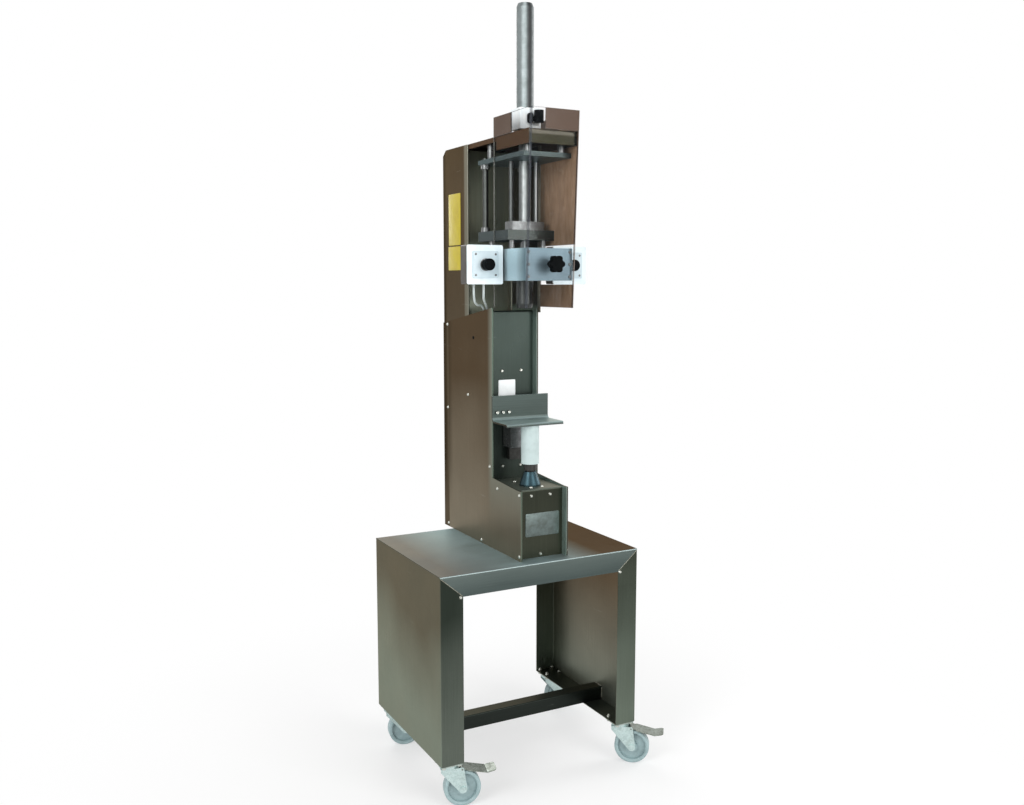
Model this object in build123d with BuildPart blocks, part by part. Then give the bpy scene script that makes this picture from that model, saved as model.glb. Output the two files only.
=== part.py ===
from build123d import *
from math import radians, tan
import os

# Semi-automatic corking machine on a mobile stainless stand.
# Millimetres. X to the right, Y to the back, Z up.
# The origin lies on the floor under the middle of the stand.

os.makedirs("parts", exist_ok=True)

# Clearances
running_gap = 0.3
shaft_fit = 0.05
rod_gap = 0.5

# Casters, measured in their own frame: swivel axis on Z, wheel trailing along +X
wheel_diameter = 98
wheel_width = 30
wheel_hub_diameter = 30
wheel_rim_depth = 11
wheel_web = 9
tread_round = 5
axle_diameter = 10
axle_head_diameter = 17
axle_head_height = 2.5
caster_trail = 36
fork_sheet = 2.5
fork_side_gap = 2.5
fork_headroom = 7.5
fork_rear_reach = 22
fork_front_reach = 26
fork_shoulder = 9
axle_boss_radius = 11
race_diameter = 46
race_height = 9.7
plate_size = 60
plate_thickness = 3
plate_corner = 6
kingpin_diameter = 10
kingpin_head_diameter = 16
kingpin_head_height = 4
caster_inset_x = 32
caster_inset_y = 30

# Brake pedals of the two front casters
pedal_pin_diameter = 5
pedal_pin_reach = 34
pedal_knuckle_radius = 4
pedal_ear_radius = 5
pedal_sheet = 3
pedal_width = 44
pedal_neck_end = 44
pedal_bend_reach = 100
pedal_bend_drop = 14.5
pedal_tip_reach = 125
pedal_tip_rise = 5
pedal_corner = 8
pedal_pin_height_above_wheel = 5

# Stand
table_width = 600
table_depth = 456
panel_height = 502
stand_sheet = 2
stand_fold = 3
apron_height = 58
leg_flange = 64
bottom_flange = 64
brace_size = 40
brace_wall = 2
brace_corner = 3
brace_offset = 40

# Column and foot
machine_x = 20
head_half = 70
body_sheet = 3
body_fold = 5
hem_thickness = 6
front_recess = 23
foot_front = -198
foot_height = 187
foot_edge_rise = 2
foot_edge_slope_rise = 10
column_front_y = -32
column_back = 253
rear_cover_depth = 39
column_height = 667
seam_drop = 45
column_top_dip = 4
column_plate_tail = 30
tube_slot_width = 24
tube_slot_length = 44
tube_slot_y = 42

# Bottle lift
lift_y = -116
lift_rod_diameter = 20
lift_rod_tail = 105
lift_cone_base = 58
lift_cone_top = 33
lift_cone_height = 38
lift_cone_rim = 4
lift_neck_diameter = 35
lift_neck_height = 18
lift_neck_rise = 42
lift_sleeve_diameter = 49
lift_sleeve_length = 110
lift_body_diameter = 63
lift_body_length = 155
lift_bore_depth = 120
lift_cover_hole = 26

# Bottle platform, its carriage and rail
platform_width = 174
platform_sheet = 4
platform_back = -61
platform_reach = 85
platform_plate_height = 68
platform_lip = 8
platform_fold_back = 10
platform_fold_front = 5
carriage_width = 56
carriage_length = 137
carriage_below_shelf = 79
carriage_back = -12
rail_width = 36
rail_head_depth = 12
rail_neck_width = 24
rail_neck_depth = 9
rail_length = 177
rail_rise = 58

# Corking head
head_axis_y = -84
bottle_gap = 306
bell_length = 73
bell_diameter = 46
bell_nose_diameter = 40
bell_nose_height = 12
bell_mouth_diameter = 36
bell_mouth_depth = 28
housing_height = 83
housing_back = 40
housing_corner = 3
upper_plate_front = -205
lower_plate_front = -120
plate_back = 55
lower_plate_gap = 24
lower_plate_thickness = 26
cage_height = 181
upper_plate_thickness = 12
cap_gap = 49
cap_sheet = 3
cap_fold = 4
cap_front_depth = 36
cap_rear_depth = 13
cap_step_y = -54
cap_tail_y = 262
cap_tail_run = 24
cap_tail_drop = 19
head_post_diameter = 18
head_post_x = 48
head_post_front_y = -190
head_post_back_y = 20
housing_post_diameter = 14
housing_post_front_y = -100
housing_post_back_y = 15
rear_column_diameter = 16
rear_column_x = 57
rear_column_y = 35
rear_column_rise = 5
collar_diameter = 25
collar_height = 12
front_rod_diameter = 12
front_rod_x = 38
front_rod_offset = 6
crosshead_width = 100
crosshead_depth = 44
crosshead_height = 22
crosshead_rest_gap = 1
crosshead_corner = 5
plunger_diameter = 32
plunger_pin_diameter = 14
plunger_pin_above_mouth = 22

# Upper enclosure behind the head
upper_front = 117
upper_back = 286

# Cylinder on top of the head
spacer_diameter = 50
spacer_height = 17
block_size = 60
block_height = 54
block_corner = 3
cylinder_diameter = 46
cylinder_wall = 4
cylinder_length = 238
piston_height = 20
piston_rest = 18
end_cap_height = 30
end_cap_bevel = 10
end_cap_bevel_in = 4
plug_width = 14
plug_height = 27
plug_depth = 9
plug_offset_x = -3
fitting_offset_x = 17
fitting_drop = 4
fitting_stub_diameter = 18
fitting_stub_length = 12
fitting_barrel_diameter = 25
fitting_barrel_height = 31

# Guard and its knob
guard_sheet = 3
guard_front = -246
guard_lean = 25
guard_back = -44
guard_fold = 8
guard_above_mouth = 2
guard_height = 499
guard_front_gap = 6
knob_diameter = 46
knob_core_diameter = 36
knob_lobe_diameter = 15
knob_lobes = 6
knob_height = 15
knob_hub_diameter = 22
knob_hub_height = 17
knob_stud_diameter = 8
knob_stud_depth = 18
knob_edge = 2

# Control boxes
box_gap = 4
box_width = 104
box_height = 102
box_depth = 40
box_front = -105
box_corner = 5
box_cover_width = 74
box_cover_height = 70
box_cover_depth = 4
box_cover_corner = 4
button_diameter = 31
button_height = 19
button_gap = 7
button_stem_diameter = 20
button_stem_in = 22
button_travel_room = 8
button_edge = 3
bracket_sheet = 3
bracket_height = 50
bracket_reach = 80
bracket_flange = 26

# Air tubes: X and Y from the origin, Z from the box's underside or from the column's top edge
tube_diameter = 6
tube_bend_share = 0.45
tube_routes = {
    "air_tube_outer": {
        "from_box": [(-128, -75, 0), (-128, -75, -24), (-116, -54, -46)],
        "from_column": [(-88, -14, 6.5), (-56, 22, 6.5), (-37, 43, -12.5), (-34, 49, -42.5)],
    },
    "air_tube_inner": {
        "from_box": [(-99, -75, 0), (-99, -75, -22), (-92, -60, -38)],
        "from_column": [(-74, -32, 13.5), (-54, 2, 8.5), (-37, 28, -5.5), (-34, 34, -35.5)],
    },
}

# Screw heads, and how far each stands from the edge or level beside it
screw_diameter = 9
screw_top_diameter = 6
screw_height = 2.6
foot_screw_inset = 8
foot_screw_rise = 12
foot_screw_drop = 9
heel_screw_inset = 32
heel_screw_drop = 13
hem_screw_inset = 14
hem_screw_rise = 41
table_screw_y = 36
table_screw_rise = 8
middle_screw_y = 119
middle_screw_height = 416
rear_screw_inset = 5
rear_screw_rise = 11
rear_screw_height = 365
rear_screw_drop = 9
upper_front_screw_x = 30
upper_front_screw_drop = 175
lower_front_screw_x = 28
lower_front_screw_rise = 37
foot_plate_screw_x = 29
foot_plate_screw_drop = 17
foot_plate_screw_rise = 9
foot_top_screw_x = 17
foot_top_screw_back = 58
foot_top_screw_front = 35
apron_screw_inset = 57
apron_screw_drop = 1

# Levels and places that follow from the sizes above
wheel_radius = wheel_diameter / 2
bridge_under = wheel_diameter + fork_headroom
fork_top = bridge_under + fork_sheet
caster_plate_under = fork_top + race_height + running_gap
caster_height = caster_plate_under + plate_thickness
fork_inner = wheel_width / 2 + fork_side_gap
fork_outer = fork_inner + fork_sheet
pedal_pin_z = wheel_diameter + pedal_pin_height_above_wheel

table_height = caster_height + panel_height
panel_top = table_height - stand_sheet
apron_bottom = table_height - apron_height
half_width = table_width / 2
half_depth = table_depth / 2

machine_half = head_half + body_sheet
machine_left = machine_x - machine_half
foot_top = table_height + foot_height
foot_edge = foot_top + foot_edge_rise
foot_edge_back = foot_edge + foot_edge_slope_rise
foot_plate_y = foot_front + front_recess
column_plate_y = column_front_y + front_recess
column_top = table_height + column_height
seam_depth = column_back - column_front_y
seam_slope = seam_drop / seam_depth
rear_cover_back = column_back + rear_cover_depth
upper_plate_y = upper_front + front_recess

neck_bottom = foot_top + lift_neck_rise
sleeve_bottom = neck_bottom + lift_neck_height
shelf_under = sleeve_bottom + lift_sleeve_length
shelf_top = shelf_under + platform_sheet

bell_bottom = shelf_top + bottle_gap
housing_bottom = bell_bottom + bell_length
housing_top = housing_bottom + housing_height
housing_middle = (housing_bottom + housing_top) / 2
lower_plate_bottom = housing_top + lower_plate_gap
lower_plate_top = lower_plate_bottom + lower_plate_thickness
upper_plate_bottom = lower_plate_top + cage_height
upper_plate_top = upper_plate_bottom + upper_plate_thickness
cap_under = upper_plate_top + cap_gap
cap_top = cap_under + cap_sheet
crosshead_bottom = lower_plate_top + crosshead_rest_gap
crosshead_top = crosshead_bottom + crosshead_height
rod_y = head_axis_y + front_rod_offset
guard_bottom = bell_bottom + guard_above_mouth
guard_top = guard_bottom + guard_height
guard_slope = guard_lean / guard_height
block_bottom = cap_top + spacer_height
block_top = block_bottom + block_height
cylinder_top = block_top + cylinder_length

box_inner = head_half + guard_sheet + box_gap
box_centre = box_inner + box_width / 2
box_back = box_front + box_depth
cover_front = box_front - box_cover_depth
button_back = cover_front - button_gap

# The column's slanted top, and the enclosure's foot that stands on it
seam_plane = Plane(
    origin=(0, column_front_y, column_top),
    x_dir=(1, 0, 0),
    z_dir=(0, seam_drop, seam_depth),
)


# The machine is symmetric about this plane
machine_plane = Plane.YZ.offset(machine_x)


def seam_height(y):
    return column_top - (y - column_front_y) * seam_slope


# The guard's front leans back towards its lower edge
def guard_face(z):
    return guard_front + (guard_top - z) * guard_slope


housing_front = guard_face(housing_bottom) + guard_sheet + guard_front_gap
cap_front = guard_face(cap_top - cap_front_depth) + guard_sheet + guard_front_gap


# Table top: one tray with a lip in front and behind, mitred at the four corners
mitre_run = stand_sheet * leg_flange / apron_height

with BuildPart() as stand_top:
    with BuildSketch(Plane.YZ.offset(-half_width)):
        with BuildLine():
            FilletPolyline(
                (-half_depth, apron_bottom),
                (-half_depth, table_height),
                (half_depth, table_height),
                (half_depth, apron_bottom),
                radius=stand_fold,
            )
            offset(amount=stand_sheet, side=Side.RIGHT)
        make_face()
    extrude(amount=table_width)
    with BuildSketch(Plane.XZ) as mitre_corners:
        with BuildLine():
            Polyline(
                (half_width, panel_top),
                (half_width - mitre_run, panel_top),
                (half_width - leg_flange, apron_bottom),
                (half_width, apron_bottom),
                close=True,
            )
        make_face()
        mirror(about=Plane.YZ)
    extrude(amount=half_depth, both=True, mode=Mode.SUBTRACT)
stand_top.part.label = "stand_top"
export_step(stand_top.part, "parts/stand_top.step")

# Side panel: solid sheet with front, back and bottom flanges turned inwards
with BuildPart() as side_panel_left:
    with BuildSketch(Plane.XY.offset(caster_height)):
        with BuildLine():
            FilletPolyline(
                (leg_flange - half_width, -half_depth),
                (-half_width, -half_depth),
                (-half_width, half_depth),
                (leg_flange - half_width, half_depth),
                radius=stand_fold,
            )
            offset(amount=stand_sheet, side=Side.RIGHT)
        make_face()
    extrude(amount=panel_top - caster_height)
    with BuildSketch(Plane.XY.offset(caster_height)):
        with Locations(((bottom_flange + stand_sheet) / 2 - half_width, 0)):
            Rectangle(bottom_flange - stand_sheet, table_depth - 2 * stand_sheet)
    extrude(amount=stand_sheet)
    with BuildSketch(Plane.XZ):
        with BuildLine():
            Polyline(
                (-half_width, table_height),
                (leg_flange - half_width, apron_bottom),
                (leg_flange - half_width, table_height),
                close=True,
            )
        make_face()
    extrude(amount=half_depth, both=True, mode=Mode.SUBTRACT)
side_panel_left.part.label = "side_panel_left"
export_step(side_panel_left.part, "parts/side_panel_left.step")

with BuildPart() as side_panel_right:
    add(side_panel_left.part)
    mirror(about=Plane.YZ, mode=Mode.REPLACE)
side_panel_right.part.label = "side_panel_right"
export_step(side_panel_right.part, "parts/side_panel_right.step")

# Box tube between the side panels, standing on their bottom flanges
with BuildPart() as cross_brace:
    with BuildSketch(Plane.YZ.offset(stand_sheet - half_width)):
        with Locations((-brace_offset, caster_height + stand_sheet + brace_size / 2)):
            RectangleRounded(brace_size, brace_size, brace_corner)
            Rectangle(brace_size - 2 * brace_wall, brace_size - 2 * brace_wall, mode=Mode.SUBTRACT)
    extrude(amount=table_width - 2 * stand_sheet)
cross_brace.part.label = "cross_brace"
export_step(cross_brace.part, "parts/cross_brace.step")

# Caster plate with its kingpin, in the caster's own frame
with BuildPart() as caster_plate:
    with BuildSketch(Plane.XY.offset(caster_plate_under)):
        RectangleRounded(plate_size, plate_size, plate_corner)
    extrude(amount=plate_thickness)
    with BuildSketch(Plane.XY.offset(caster_plate_under)):
        Circle(kingpin_diameter / 2)
    extrude(amount=-(caster_plate_under - bridge_under + running_gap + kingpin_head_height))
    with BuildSketch(Plane.XY.offset(bridge_under - running_gap)):
        Circle(kingpin_head_diameter / 2)
    extrude(amount=-kingpin_head_height)

# Fork: tapered legs, a bridge with the swivel race, and the riveted axle
with BuildPart() as fork:
    with BuildSketch(Plane.XZ.offset(fork_inner)):
        with BuildSketch(mode=Mode.PRIVATE) as leg_parts:
            with Locations(((fork_front_reach - fork_rear_reach) / 2, fork_top - fork_shoulder / 2)):
                Rectangle(fork_front_reach + fork_rear_reach, fork_shoulder)
            with Locations((caster_trail, wheel_radius)):
                Circle(axle_boss_radius)
            with Locations((pedal_pin_reach, pedal_pin_z)):
                Circle(pedal_ear_radius)
        make_hull(leg_parts.sketch.edges())
        with Locations((pedal_pin_reach, pedal_pin_z)):
            Circle(pedal_pin_diameter / 2 + shaft_fit, mode=Mode.SUBTRACT)
    extrude(amount=fork_sheet)
    mirror(about=Plane.XZ)
    with BuildSketch(Plane.XY.offset(bridge_under)):
        with Locations(((fork_front_reach - fork_rear_reach) / 2, 0)):
            Rectangle(fork_front_reach + fork_rear_reach, 2 * fork_outer)
    extrude(amount=fork_sheet)
    with BuildSketch(Plane.XY.offset(fork_top)):
        Circle(race_diameter / 2)
    extrude(amount=race_height)
    with BuildSketch(Plane.XY.offset(bridge_under)):
        Circle(kingpin_diameter / 2 + shaft_fit)
    extrude(amount=fork_sheet + race_height, mode=Mode.SUBTRACT)
    with BuildSketch(Plane.XZ):
        with Locations((caster_trail, wheel_radius)):
            Circle(axle_diameter / 2)
    extrude(amount=fork_outer, both=True)
    with BuildSketch(Plane.XZ.offset(fork_outer)):
        with Locations((caster_trail, wheel_radius)):
            Circle(axle_head_diameter / 2)
    axle_head = extrude(amount=axle_head_height)
    mirror(axle_head, about=Plane.XZ)

# Wheel: rim, thin web and hub turned from one piece
axle_plane = Plane(origin=(caster_trail, 0, wheel_radius), x_dir=(0, 1, 0), z_dir=(1, 0, 0))
hub_radius = wheel_hub_diameter / 2
rim_radius = wheel_radius - wheel_rim_depth
hub_half_width = fork_inner - running_gap

with BuildPart() as wheel:
    with BuildSketch(axle_plane) as wheel_section:
        with Locations((0, wheel_radius - wheel_rim_depth / 2)):
            Rectangle(wheel_width, wheel_rim_depth)
        fillet(wheel_section.vertices().group_by(Axis.Z)[-1], tread_round)
        with Locations((0, (rim_radius + hub_radius) / 2)):
            Rectangle(wheel_web, rim_radius - hub_radius)
        with Locations((0, (hub_radius + axle_diameter / 2 + shaft_fit) / 2)):
            Rectangle(2 * hub_half_width, hub_radius - axle_diameter / 2 - shaft_fit)
    revolve(axis=Axis((caster_trail, 0, wheel_radius), (0, 1, 0)))

# Brake pedal: bent tongue on a knuckle between the fork's ears
with BuildPart() as brake_pedal:
    tongue_z = pedal_pin_z + pedal_knuckle_radius - pedal_sheet / 2
    with BuildSketch(Plane.XZ):
        with BuildLine():
            Polyline(
                (pedal_pin_reach, tongue_z),
                (pedal_bend_reach, tongue_z - pedal_bend_drop),
                (pedal_tip_reach, tongue_z - pedal_bend_drop + pedal_tip_rise),
            )
            offset(amount=pedal_sheet, side=Side.RIGHT)
        make_face()
    extrude(amount=pedal_width / 2, both=True)
    with BuildSketch(Plane.XY.offset(tongue_z - pedal_bend_drop - pedal_width)) as tongue_plan:
        with Locations(((pedal_neck_end + pedal_tip_reach) / 2, 0)):
            Rectangle(pedal_tip_reach - pedal_neck_end, pedal_width)
        fillet(tongue_plan.vertices(), pedal_corner)
        with Locations(((pedal_pin_reach + pedal_neck_end + pedal_corner) / 2, 0)):
            Rectangle(pedal_neck_end + pedal_corner - pedal_pin_reach, 2 * hub_half_width)
    extrude(amount=2 * pedal_width, mode=Mode.INTERSECT)
    with BuildSketch(Plane.XZ):
        with Locations((pedal_pin_reach, pedal_pin_z)):
            Circle(pedal_knuckle_radius)
    extrude(amount=hub_half_width, both=True)
    with BuildSketch(Plane.XZ):
        with Locations((pedal_pin_reach, pedal_pin_z)):
            Circle(pedal_pin_diameter / 2)
    extrude(amount=fork_outer, both=True)

# The four casters, each turned as it came to rest
caster_x = half_width - caster_inset_x
caster_y = half_depth - caster_inset_y
caster_places = {
    "front_left": (-caster_x, -caster_y, -15),
    "front_right": (caster_x, -caster_y, -38),
    "back_left": (-caster_x, caster_y, -10),
    "back_right": (caster_x, caster_y, -5),
}

plates = []
for place, (x, y, turn) in caster_places.items():
    spot = Location((x, y, 0), (0, 0, turn))
    plates.append(caster_plate.part.moved(Location((x, y, 0))))
    placed_fork = fork.part.moved(spot)
    placed_fork.label = f"fork_{place}"
    export_step(placed_fork, f"parts/fork_{place}.step")
    placed_wheel = wheel.part.moved(spot)
    placed_wheel.label = f"wheel_{place}"
    export_step(placed_wheel, f"parts/wheel_{place}.step")
    if y < 0:
        placed_pedal = brake_pedal.part.moved(spot)
        placed_pedal.label = f"pedal_{place}"
        export_step(placed_pedal, f"parts/pedal_{place}.step")

caster_plates = Compound(children=plates)
caster_plates.label = "caster_plates"
export_step(caster_plates, "parts/caster_plates.step")


# Column side: an L-shaped sheet with a rounded hem along its two front edges.
# The left one ends at the slanted seam. The right one goes on up beside the head, in front of the enclosure.
def column_side(side, plate_top, seam_start):
    outer = machine_x + side * machine_half
    hem_round = hem_thickness / 2
    hem_middle = outer - side * hem_round
    with BuildPart() as plate:
        with BuildSketch(Plane.YZ.offset(outer)):
            with BuildLine():
                Polyline(
                    (foot_front + hem_round, table_height),
                    (column_back, table_height),
                    (column_back, seam_height(column_back)),
                    (seam_start, seam_height(seam_start)),
                    (seam_start, plate_top),
                    (column_front_y + hem_round, plate_top),
                    (column_front_y + hem_round, foot_edge_back),
                    (foot_plate_y, foot_edge),
                    (foot_front + hem_round, foot_edge),
                    close=True,
                )
            make_face()
        extrude(amount=-side * body_sheet)
        with BuildSketch(Plane.XY.offset(table_height)):
            with Locations((hem_middle, (foot_front + hem_round + foot_plate_y) / 2)):
                Rectangle(hem_thickness, front_recess - hem_round)
            with Locations((hem_middle, foot_front + hem_round)):
                Circle(hem_round)
        extrude(amount=foot_edge - table_height)
        with BuildSketch(Plane.XY.offset(foot_top)):
            with Locations((hem_middle, (column_front_y + hem_round + column_plate_y) / 2)):
                Rectangle(hem_thickness, front_recess - hem_round)
            with Locations((hem_middle, column_front_y + hem_round)):
                Circle(hem_round)
        extrude(amount=seam_height(column_plate_y) - foot_top)
    return plate.part


hem_end = column_front_y + hem_thickness / 2
column_side_left = column_side(-1, seam_height(hem_end), hem_end + hem_thickness)
column_side_left.label = "column_side_left"
export_step(column_side_left, "parts/column_side_left.step")

column_side_right = column_side(1, cap_top, upper_front)
column_side_right.label = "column_side_right"
export_step(column_side_right, "parts/column_side_right.step")

# Column front: a plate between the sides, folded back along the slanted top
plate_left = machine_x - head_half
front_fold_z = seam_height(column_plate_y) - column_top_dip
tail_y = upper_plate_y + column_plate_tail
tail_z = seam_height(tail_y) - column_top_dip

with BuildPart() as column_front:
    with BuildSketch(Plane.YZ.offset(plate_left)):
        with BuildLine():
            FilletPolyline(
                (column_plate_y, foot_top - column_plate_tail),
                (column_plate_y, front_fold_z),
                (tail_y, tail_z),
                radius=body_fold,
            )
            offset(amount=body_sheet, side=Side.RIGHT)
        make_face()
    extrude(amount=2 * head_half)
    with BuildSketch(Plane.XY.offset(column_top)):
        with Locations((plate_left + tube_slot_width / 2, tube_slot_y)):
            Rectangle(tube_slot_width, tube_slot_length)
    extrude(amount=-2 * seam_drop, mode=Mode.SUBTRACT)
column_front.part.label = "column_front"
export_step(column_front.part, "parts/column_front.step")

# Rear cover of the column: a folded channel that hangs behind the table
with BuildPart() as column_rear_cover:
    with BuildSketch(Plane.XY.offset(table_height)):
        with BuildLine():
            FilletPolyline(
                (machine_left, column_back),
                (machine_left, rear_cover_back),
                (machine_left + 2 * machine_half, rear_cover_back),
                (machine_left + 2 * machine_half, column_back),
                radius=body_fold,
            )
            offset(amount=body_sheet, side=Side.RIGHT)
        make_face()
    extrude(amount=column_height)
    split(bisect_by=seam_plane, keep=Keep.BOTTOM)
column_rear_cover.part.label = "column_rear_cover"
export_step(column_rear_cover.part, "parts/column_rear_cover.step")

# Foot cover: front and top of the foot in one fold, with a hole for the lift rod
with BuildPart() as foot_cover:
    with BuildSketch(Plane.YZ.offset(plate_left)):
        with BuildLine():
            FilletPolyline(
                (foot_plate_y, table_height),
                (foot_plate_y, foot_top),
                (column_plate_y, foot_top),
                radius=body_fold,
            )
            offset(amount=body_sheet, side=Side.RIGHT)
        make_face()
    extrude(amount=2 * head_half)
    with BuildSketch(Plane.XY.offset(foot_top)):
        with Locations((machine_x, lift_y)):
            Circle(lift_cover_hole / 2)
    extrude(amount=-body_sheet, mode=Mode.SUBTRACT)
foot_cover.part.label = "foot_cover"
export_step(foot_cover.part, "parts/foot_cover.step")

# Lift: turned cone on the foot, hidden cylinder body below it
lift_bore = lift_rod_diameter / 2 + running_gap

with BuildPart() as lift_cone:
    with BuildSketch(Plane(origin=(machine_x, lift_y, foot_top), x_dir=(1, 0, 0), z_dir=(0, -1, 0))):
        with BuildLine():
            Polyline(
                (lift_bore, 0),
                (lift_cone_base / 2, 0),
                (lift_cone_base / 2, lift_cone_rim),
                (lift_cone_top / 2, lift_cone_height),
                (lift_bore, lift_cone_height),
                close=True,
            )
        make_face()
    revolve(axis=Axis((machine_x, lift_y, 0), (0, 0, 1)))
lift_cone.part.label = "lift_cone"
export_step(lift_cone.part, "parts/lift_cone.step")

with BuildPart() as lift_body:
    with BuildSketch(Plane.XY.offset(foot_top - body_sheet)):
        with Locations((machine_x, lift_y)):
            Circle(lift_body_diameter / 2)
    extrude(amount=-lift_body_length)
    with BuildSketch(Plane.XY.offset(foot_top - body_sheet)):
        with Locations((machine_x, lift_y)):
            Circle(lift_bore)
    extrude(amount=-lift_bore_depth, mode=Mode.SUBTRACT)
lift_body.part.label = "lift_body"
export_step(lift_body.part, "parts/lift_body.step")

# Lift rod with its dark neck, and the white sleeve under the shelf
with BuildPart() as lift_rod:
    with BuildSketch(Plane.XY.offset(neck_bottom)):
        with Locations((machine_x, lift_y)):
            Circle(lift_neck_diameter / 2)
    extrude(amount=lift_neck_height)
    with BuildSketch(Plane.XY.offset(neck_bottom)):
        with Locations((machine_x, lift_y)):
            Circle(lift_rod_diameter / 2)
    extrude(amount=-(lift_neck_rise + lift_rod_tail))
lift_rod.part.label = "lift_rod"
export_step(lift_rod.part, "parts/lift_rod.step")

with BuildPart() as lift_sleeve:
    with BuildSketch(Plane.XY.offset(sleeve_bottom)):
        with Locations((machine_x, lift_y)):
            Circle(lift_sleeve_diameter / 2)
    extrude(amount=lift_sleeve_length)
lift_sleeve.part.label = "lift_sleeve"
export_step(lift_sleeve.part, "parts/lift_sleeve.step")

# Bottle platform: back plate, shelf and lip folded from one sheet
with BuildPart() as platform:
    with BuildSketch(Plane.YZ.offset(machine_x - platform_width / 2)):
        with BuildLine():
            FilletPolyline(
                (platform_back, shelf_top + platform_plate_height),
                (platform_back, shelf_top),
                (platform_back - platform_reach, shelf_top),
                (platform_back - platform_reach, shelf_top - platform_lip),
                radius=[platform_fold_back, platform_fold_front],
            )
            offset(amount=platform_sheet, side=Side.LEFT)
        make_face()
    extrude(amount=platform_width)
platform.part.label = "platform"
export_step(platform.part, "parts/platform.step")

# Carriage with a T-slot, running on a T-shaped rail on the column
carriage_front = platform_back + platform_sheet
rail_front = column_plate_y - rail_neck_depth - rail_head_depth
carriage_bottom = shelf_top - carriage_below_shelf

with BuildPart() as guide_rail:
    with BuildSketch(Plane.XY.offset(foot_top + rail_rise)):
        with Locations((machine_x, column_plate_y - rail_neck_depth / 2)):
            Rectangle(rail_neck_width, rail_neck_depth)
        with Locations((machine_x, rail_front + rail_head_depth / 2)):
            Rectangle(rail_width, rail_head_depth)
    extrude(amount=rail_length)
guide_rail.part.label = "guide_rail"
export_step(guide_rail.part, "parts/guide_rail.step")

with BuildPart() as carriage:
    with BuildSketch(Plane.XY.offset(carriage_bottom)):
        with Locations((machine_x, (carriage_front + carriage_back) / 2)):
            Rectangle(carriage_width, carriage_back - carriage_front)
        with Locations((machine_x, rail_front + rail_head_depth / 2)):
            Rectangle(rail_width + 2 * running_gap, rail_head_depth + 2 * running_gap, mode=Mode.SUBTRACT)
        with Locations((machine_x, (rail_front + carriage_back) / 2)):
            Rectangle(rail_neck_width + 2 * running_gap, carriage_back - rail_front, mode=Mode.SUBTRACT)
    extrude(amount=carriage_length)
carriage.part.label = "carriage"
export_step(carriage.part, "parts/carriage.step")

# Upper enclosure: folded cover with hemmed front edges, cut to the seam
tail_corner_z = cap_top - cap_tail_drop

with BuildPart() as upper_cover:
    with BuildSketch(Plane.XY.offset(column_top - 2 * seam_drop)):
        with BuildLine():
            FilletPolyline(
                (machine_left, upper_front + hem_thickness / 2),
                (machine_left, upper_back),
                (machine_left + 2 * machine_half, upper_back),
                (machine_left + 2 * machine_half, upper_front + hem_thickness / 2),
                radius=body_fold,
            )
            offset(amount=body_sheet, side=Side.RIGHT)
        make_face()
        hem_x = machine_half - hem_thickness / 2
        hem_y = (upper_front + hem_thickness / 2 + upper_plate_y) / 2
        with Locations((machine_x - hem_x, hem_y), (machine_x + hem_x, hem_y)):
            Rectangle(hem_thickness, front_recess - hem_thickness / 2)
        hem_nose = upper_front + hem_thickness / 2
        with Locations((machine_x - hem_x, hem_nose), (machine_x + hem_x, hem_nose)):
            Circle(hem_thickness / 2)
    extrude(amount=cap_top - column_top + 2 * seam_drop)
    split(bisect_by=seam_plane, keep=Keep.TOP)
    with BuildSketch(Plane.YZ.offset(machine_left)):
        with BuildLine():
            Polyline(
                (cap_tail_y, cap_top),
                (cap_tail_y + cap_tail_run, tail_corner_z),
                (upper_back + body_fold, tail_corner_z),
                (upper_back + body_fold, cap_top),
                close=True,
            )
        make_face()
    extrude(amount=2 * machine_half, mode=Mode.SUBTRACT)
    with BuildSketch(Plane.YZ.offset(plate_left)):
        with BuildLine():
            Polyline(
                (upper_front, cap_top - cap_rear_depth),
                (upper_back + body_fold, cap_top - cap_rear_depth),
                (upper_back + body_fold, cap_top),
                (upper_front, cap_top),
                close=True,
            )
        make_face()
    extrude(amount=2 * head_half, mode=Mode.SUBTRACT)
upper_cover.part.label = "upper_cover"
export_step(upper_cover.part, "parts/upper_cover.step")

with BuildPart() as upper_front_plate:
    with BuildSketch(Plane.XZ.offset(-upper_plate_y)):
        with Locations((machine_x, (cap_top - cap_rear_depth + column_top - seam_drop) / 2)):
            Rectangle(2 * head_half, cap_top - cap_rear_depth - column_top + seam_drop)
    extrude(amount=-body_sheet)
    split(bisect_by=seam_plane, keep=Keep.TOP)
upper_front_plate.part.label = "upper_front_plate"
export_step(upper_front_plate.part, "parts/upper_front_plate.step")

# Head cap: a tray that is deep over the head and shallow over the enclosure
tail_slope = cap_tail_run / cap_tail_drop
cap_tail_end = cap_tail_y + cap_rear_depth * tail_slope
plunger_hole = plunger_diameter / 2 + rod_gap

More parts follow.
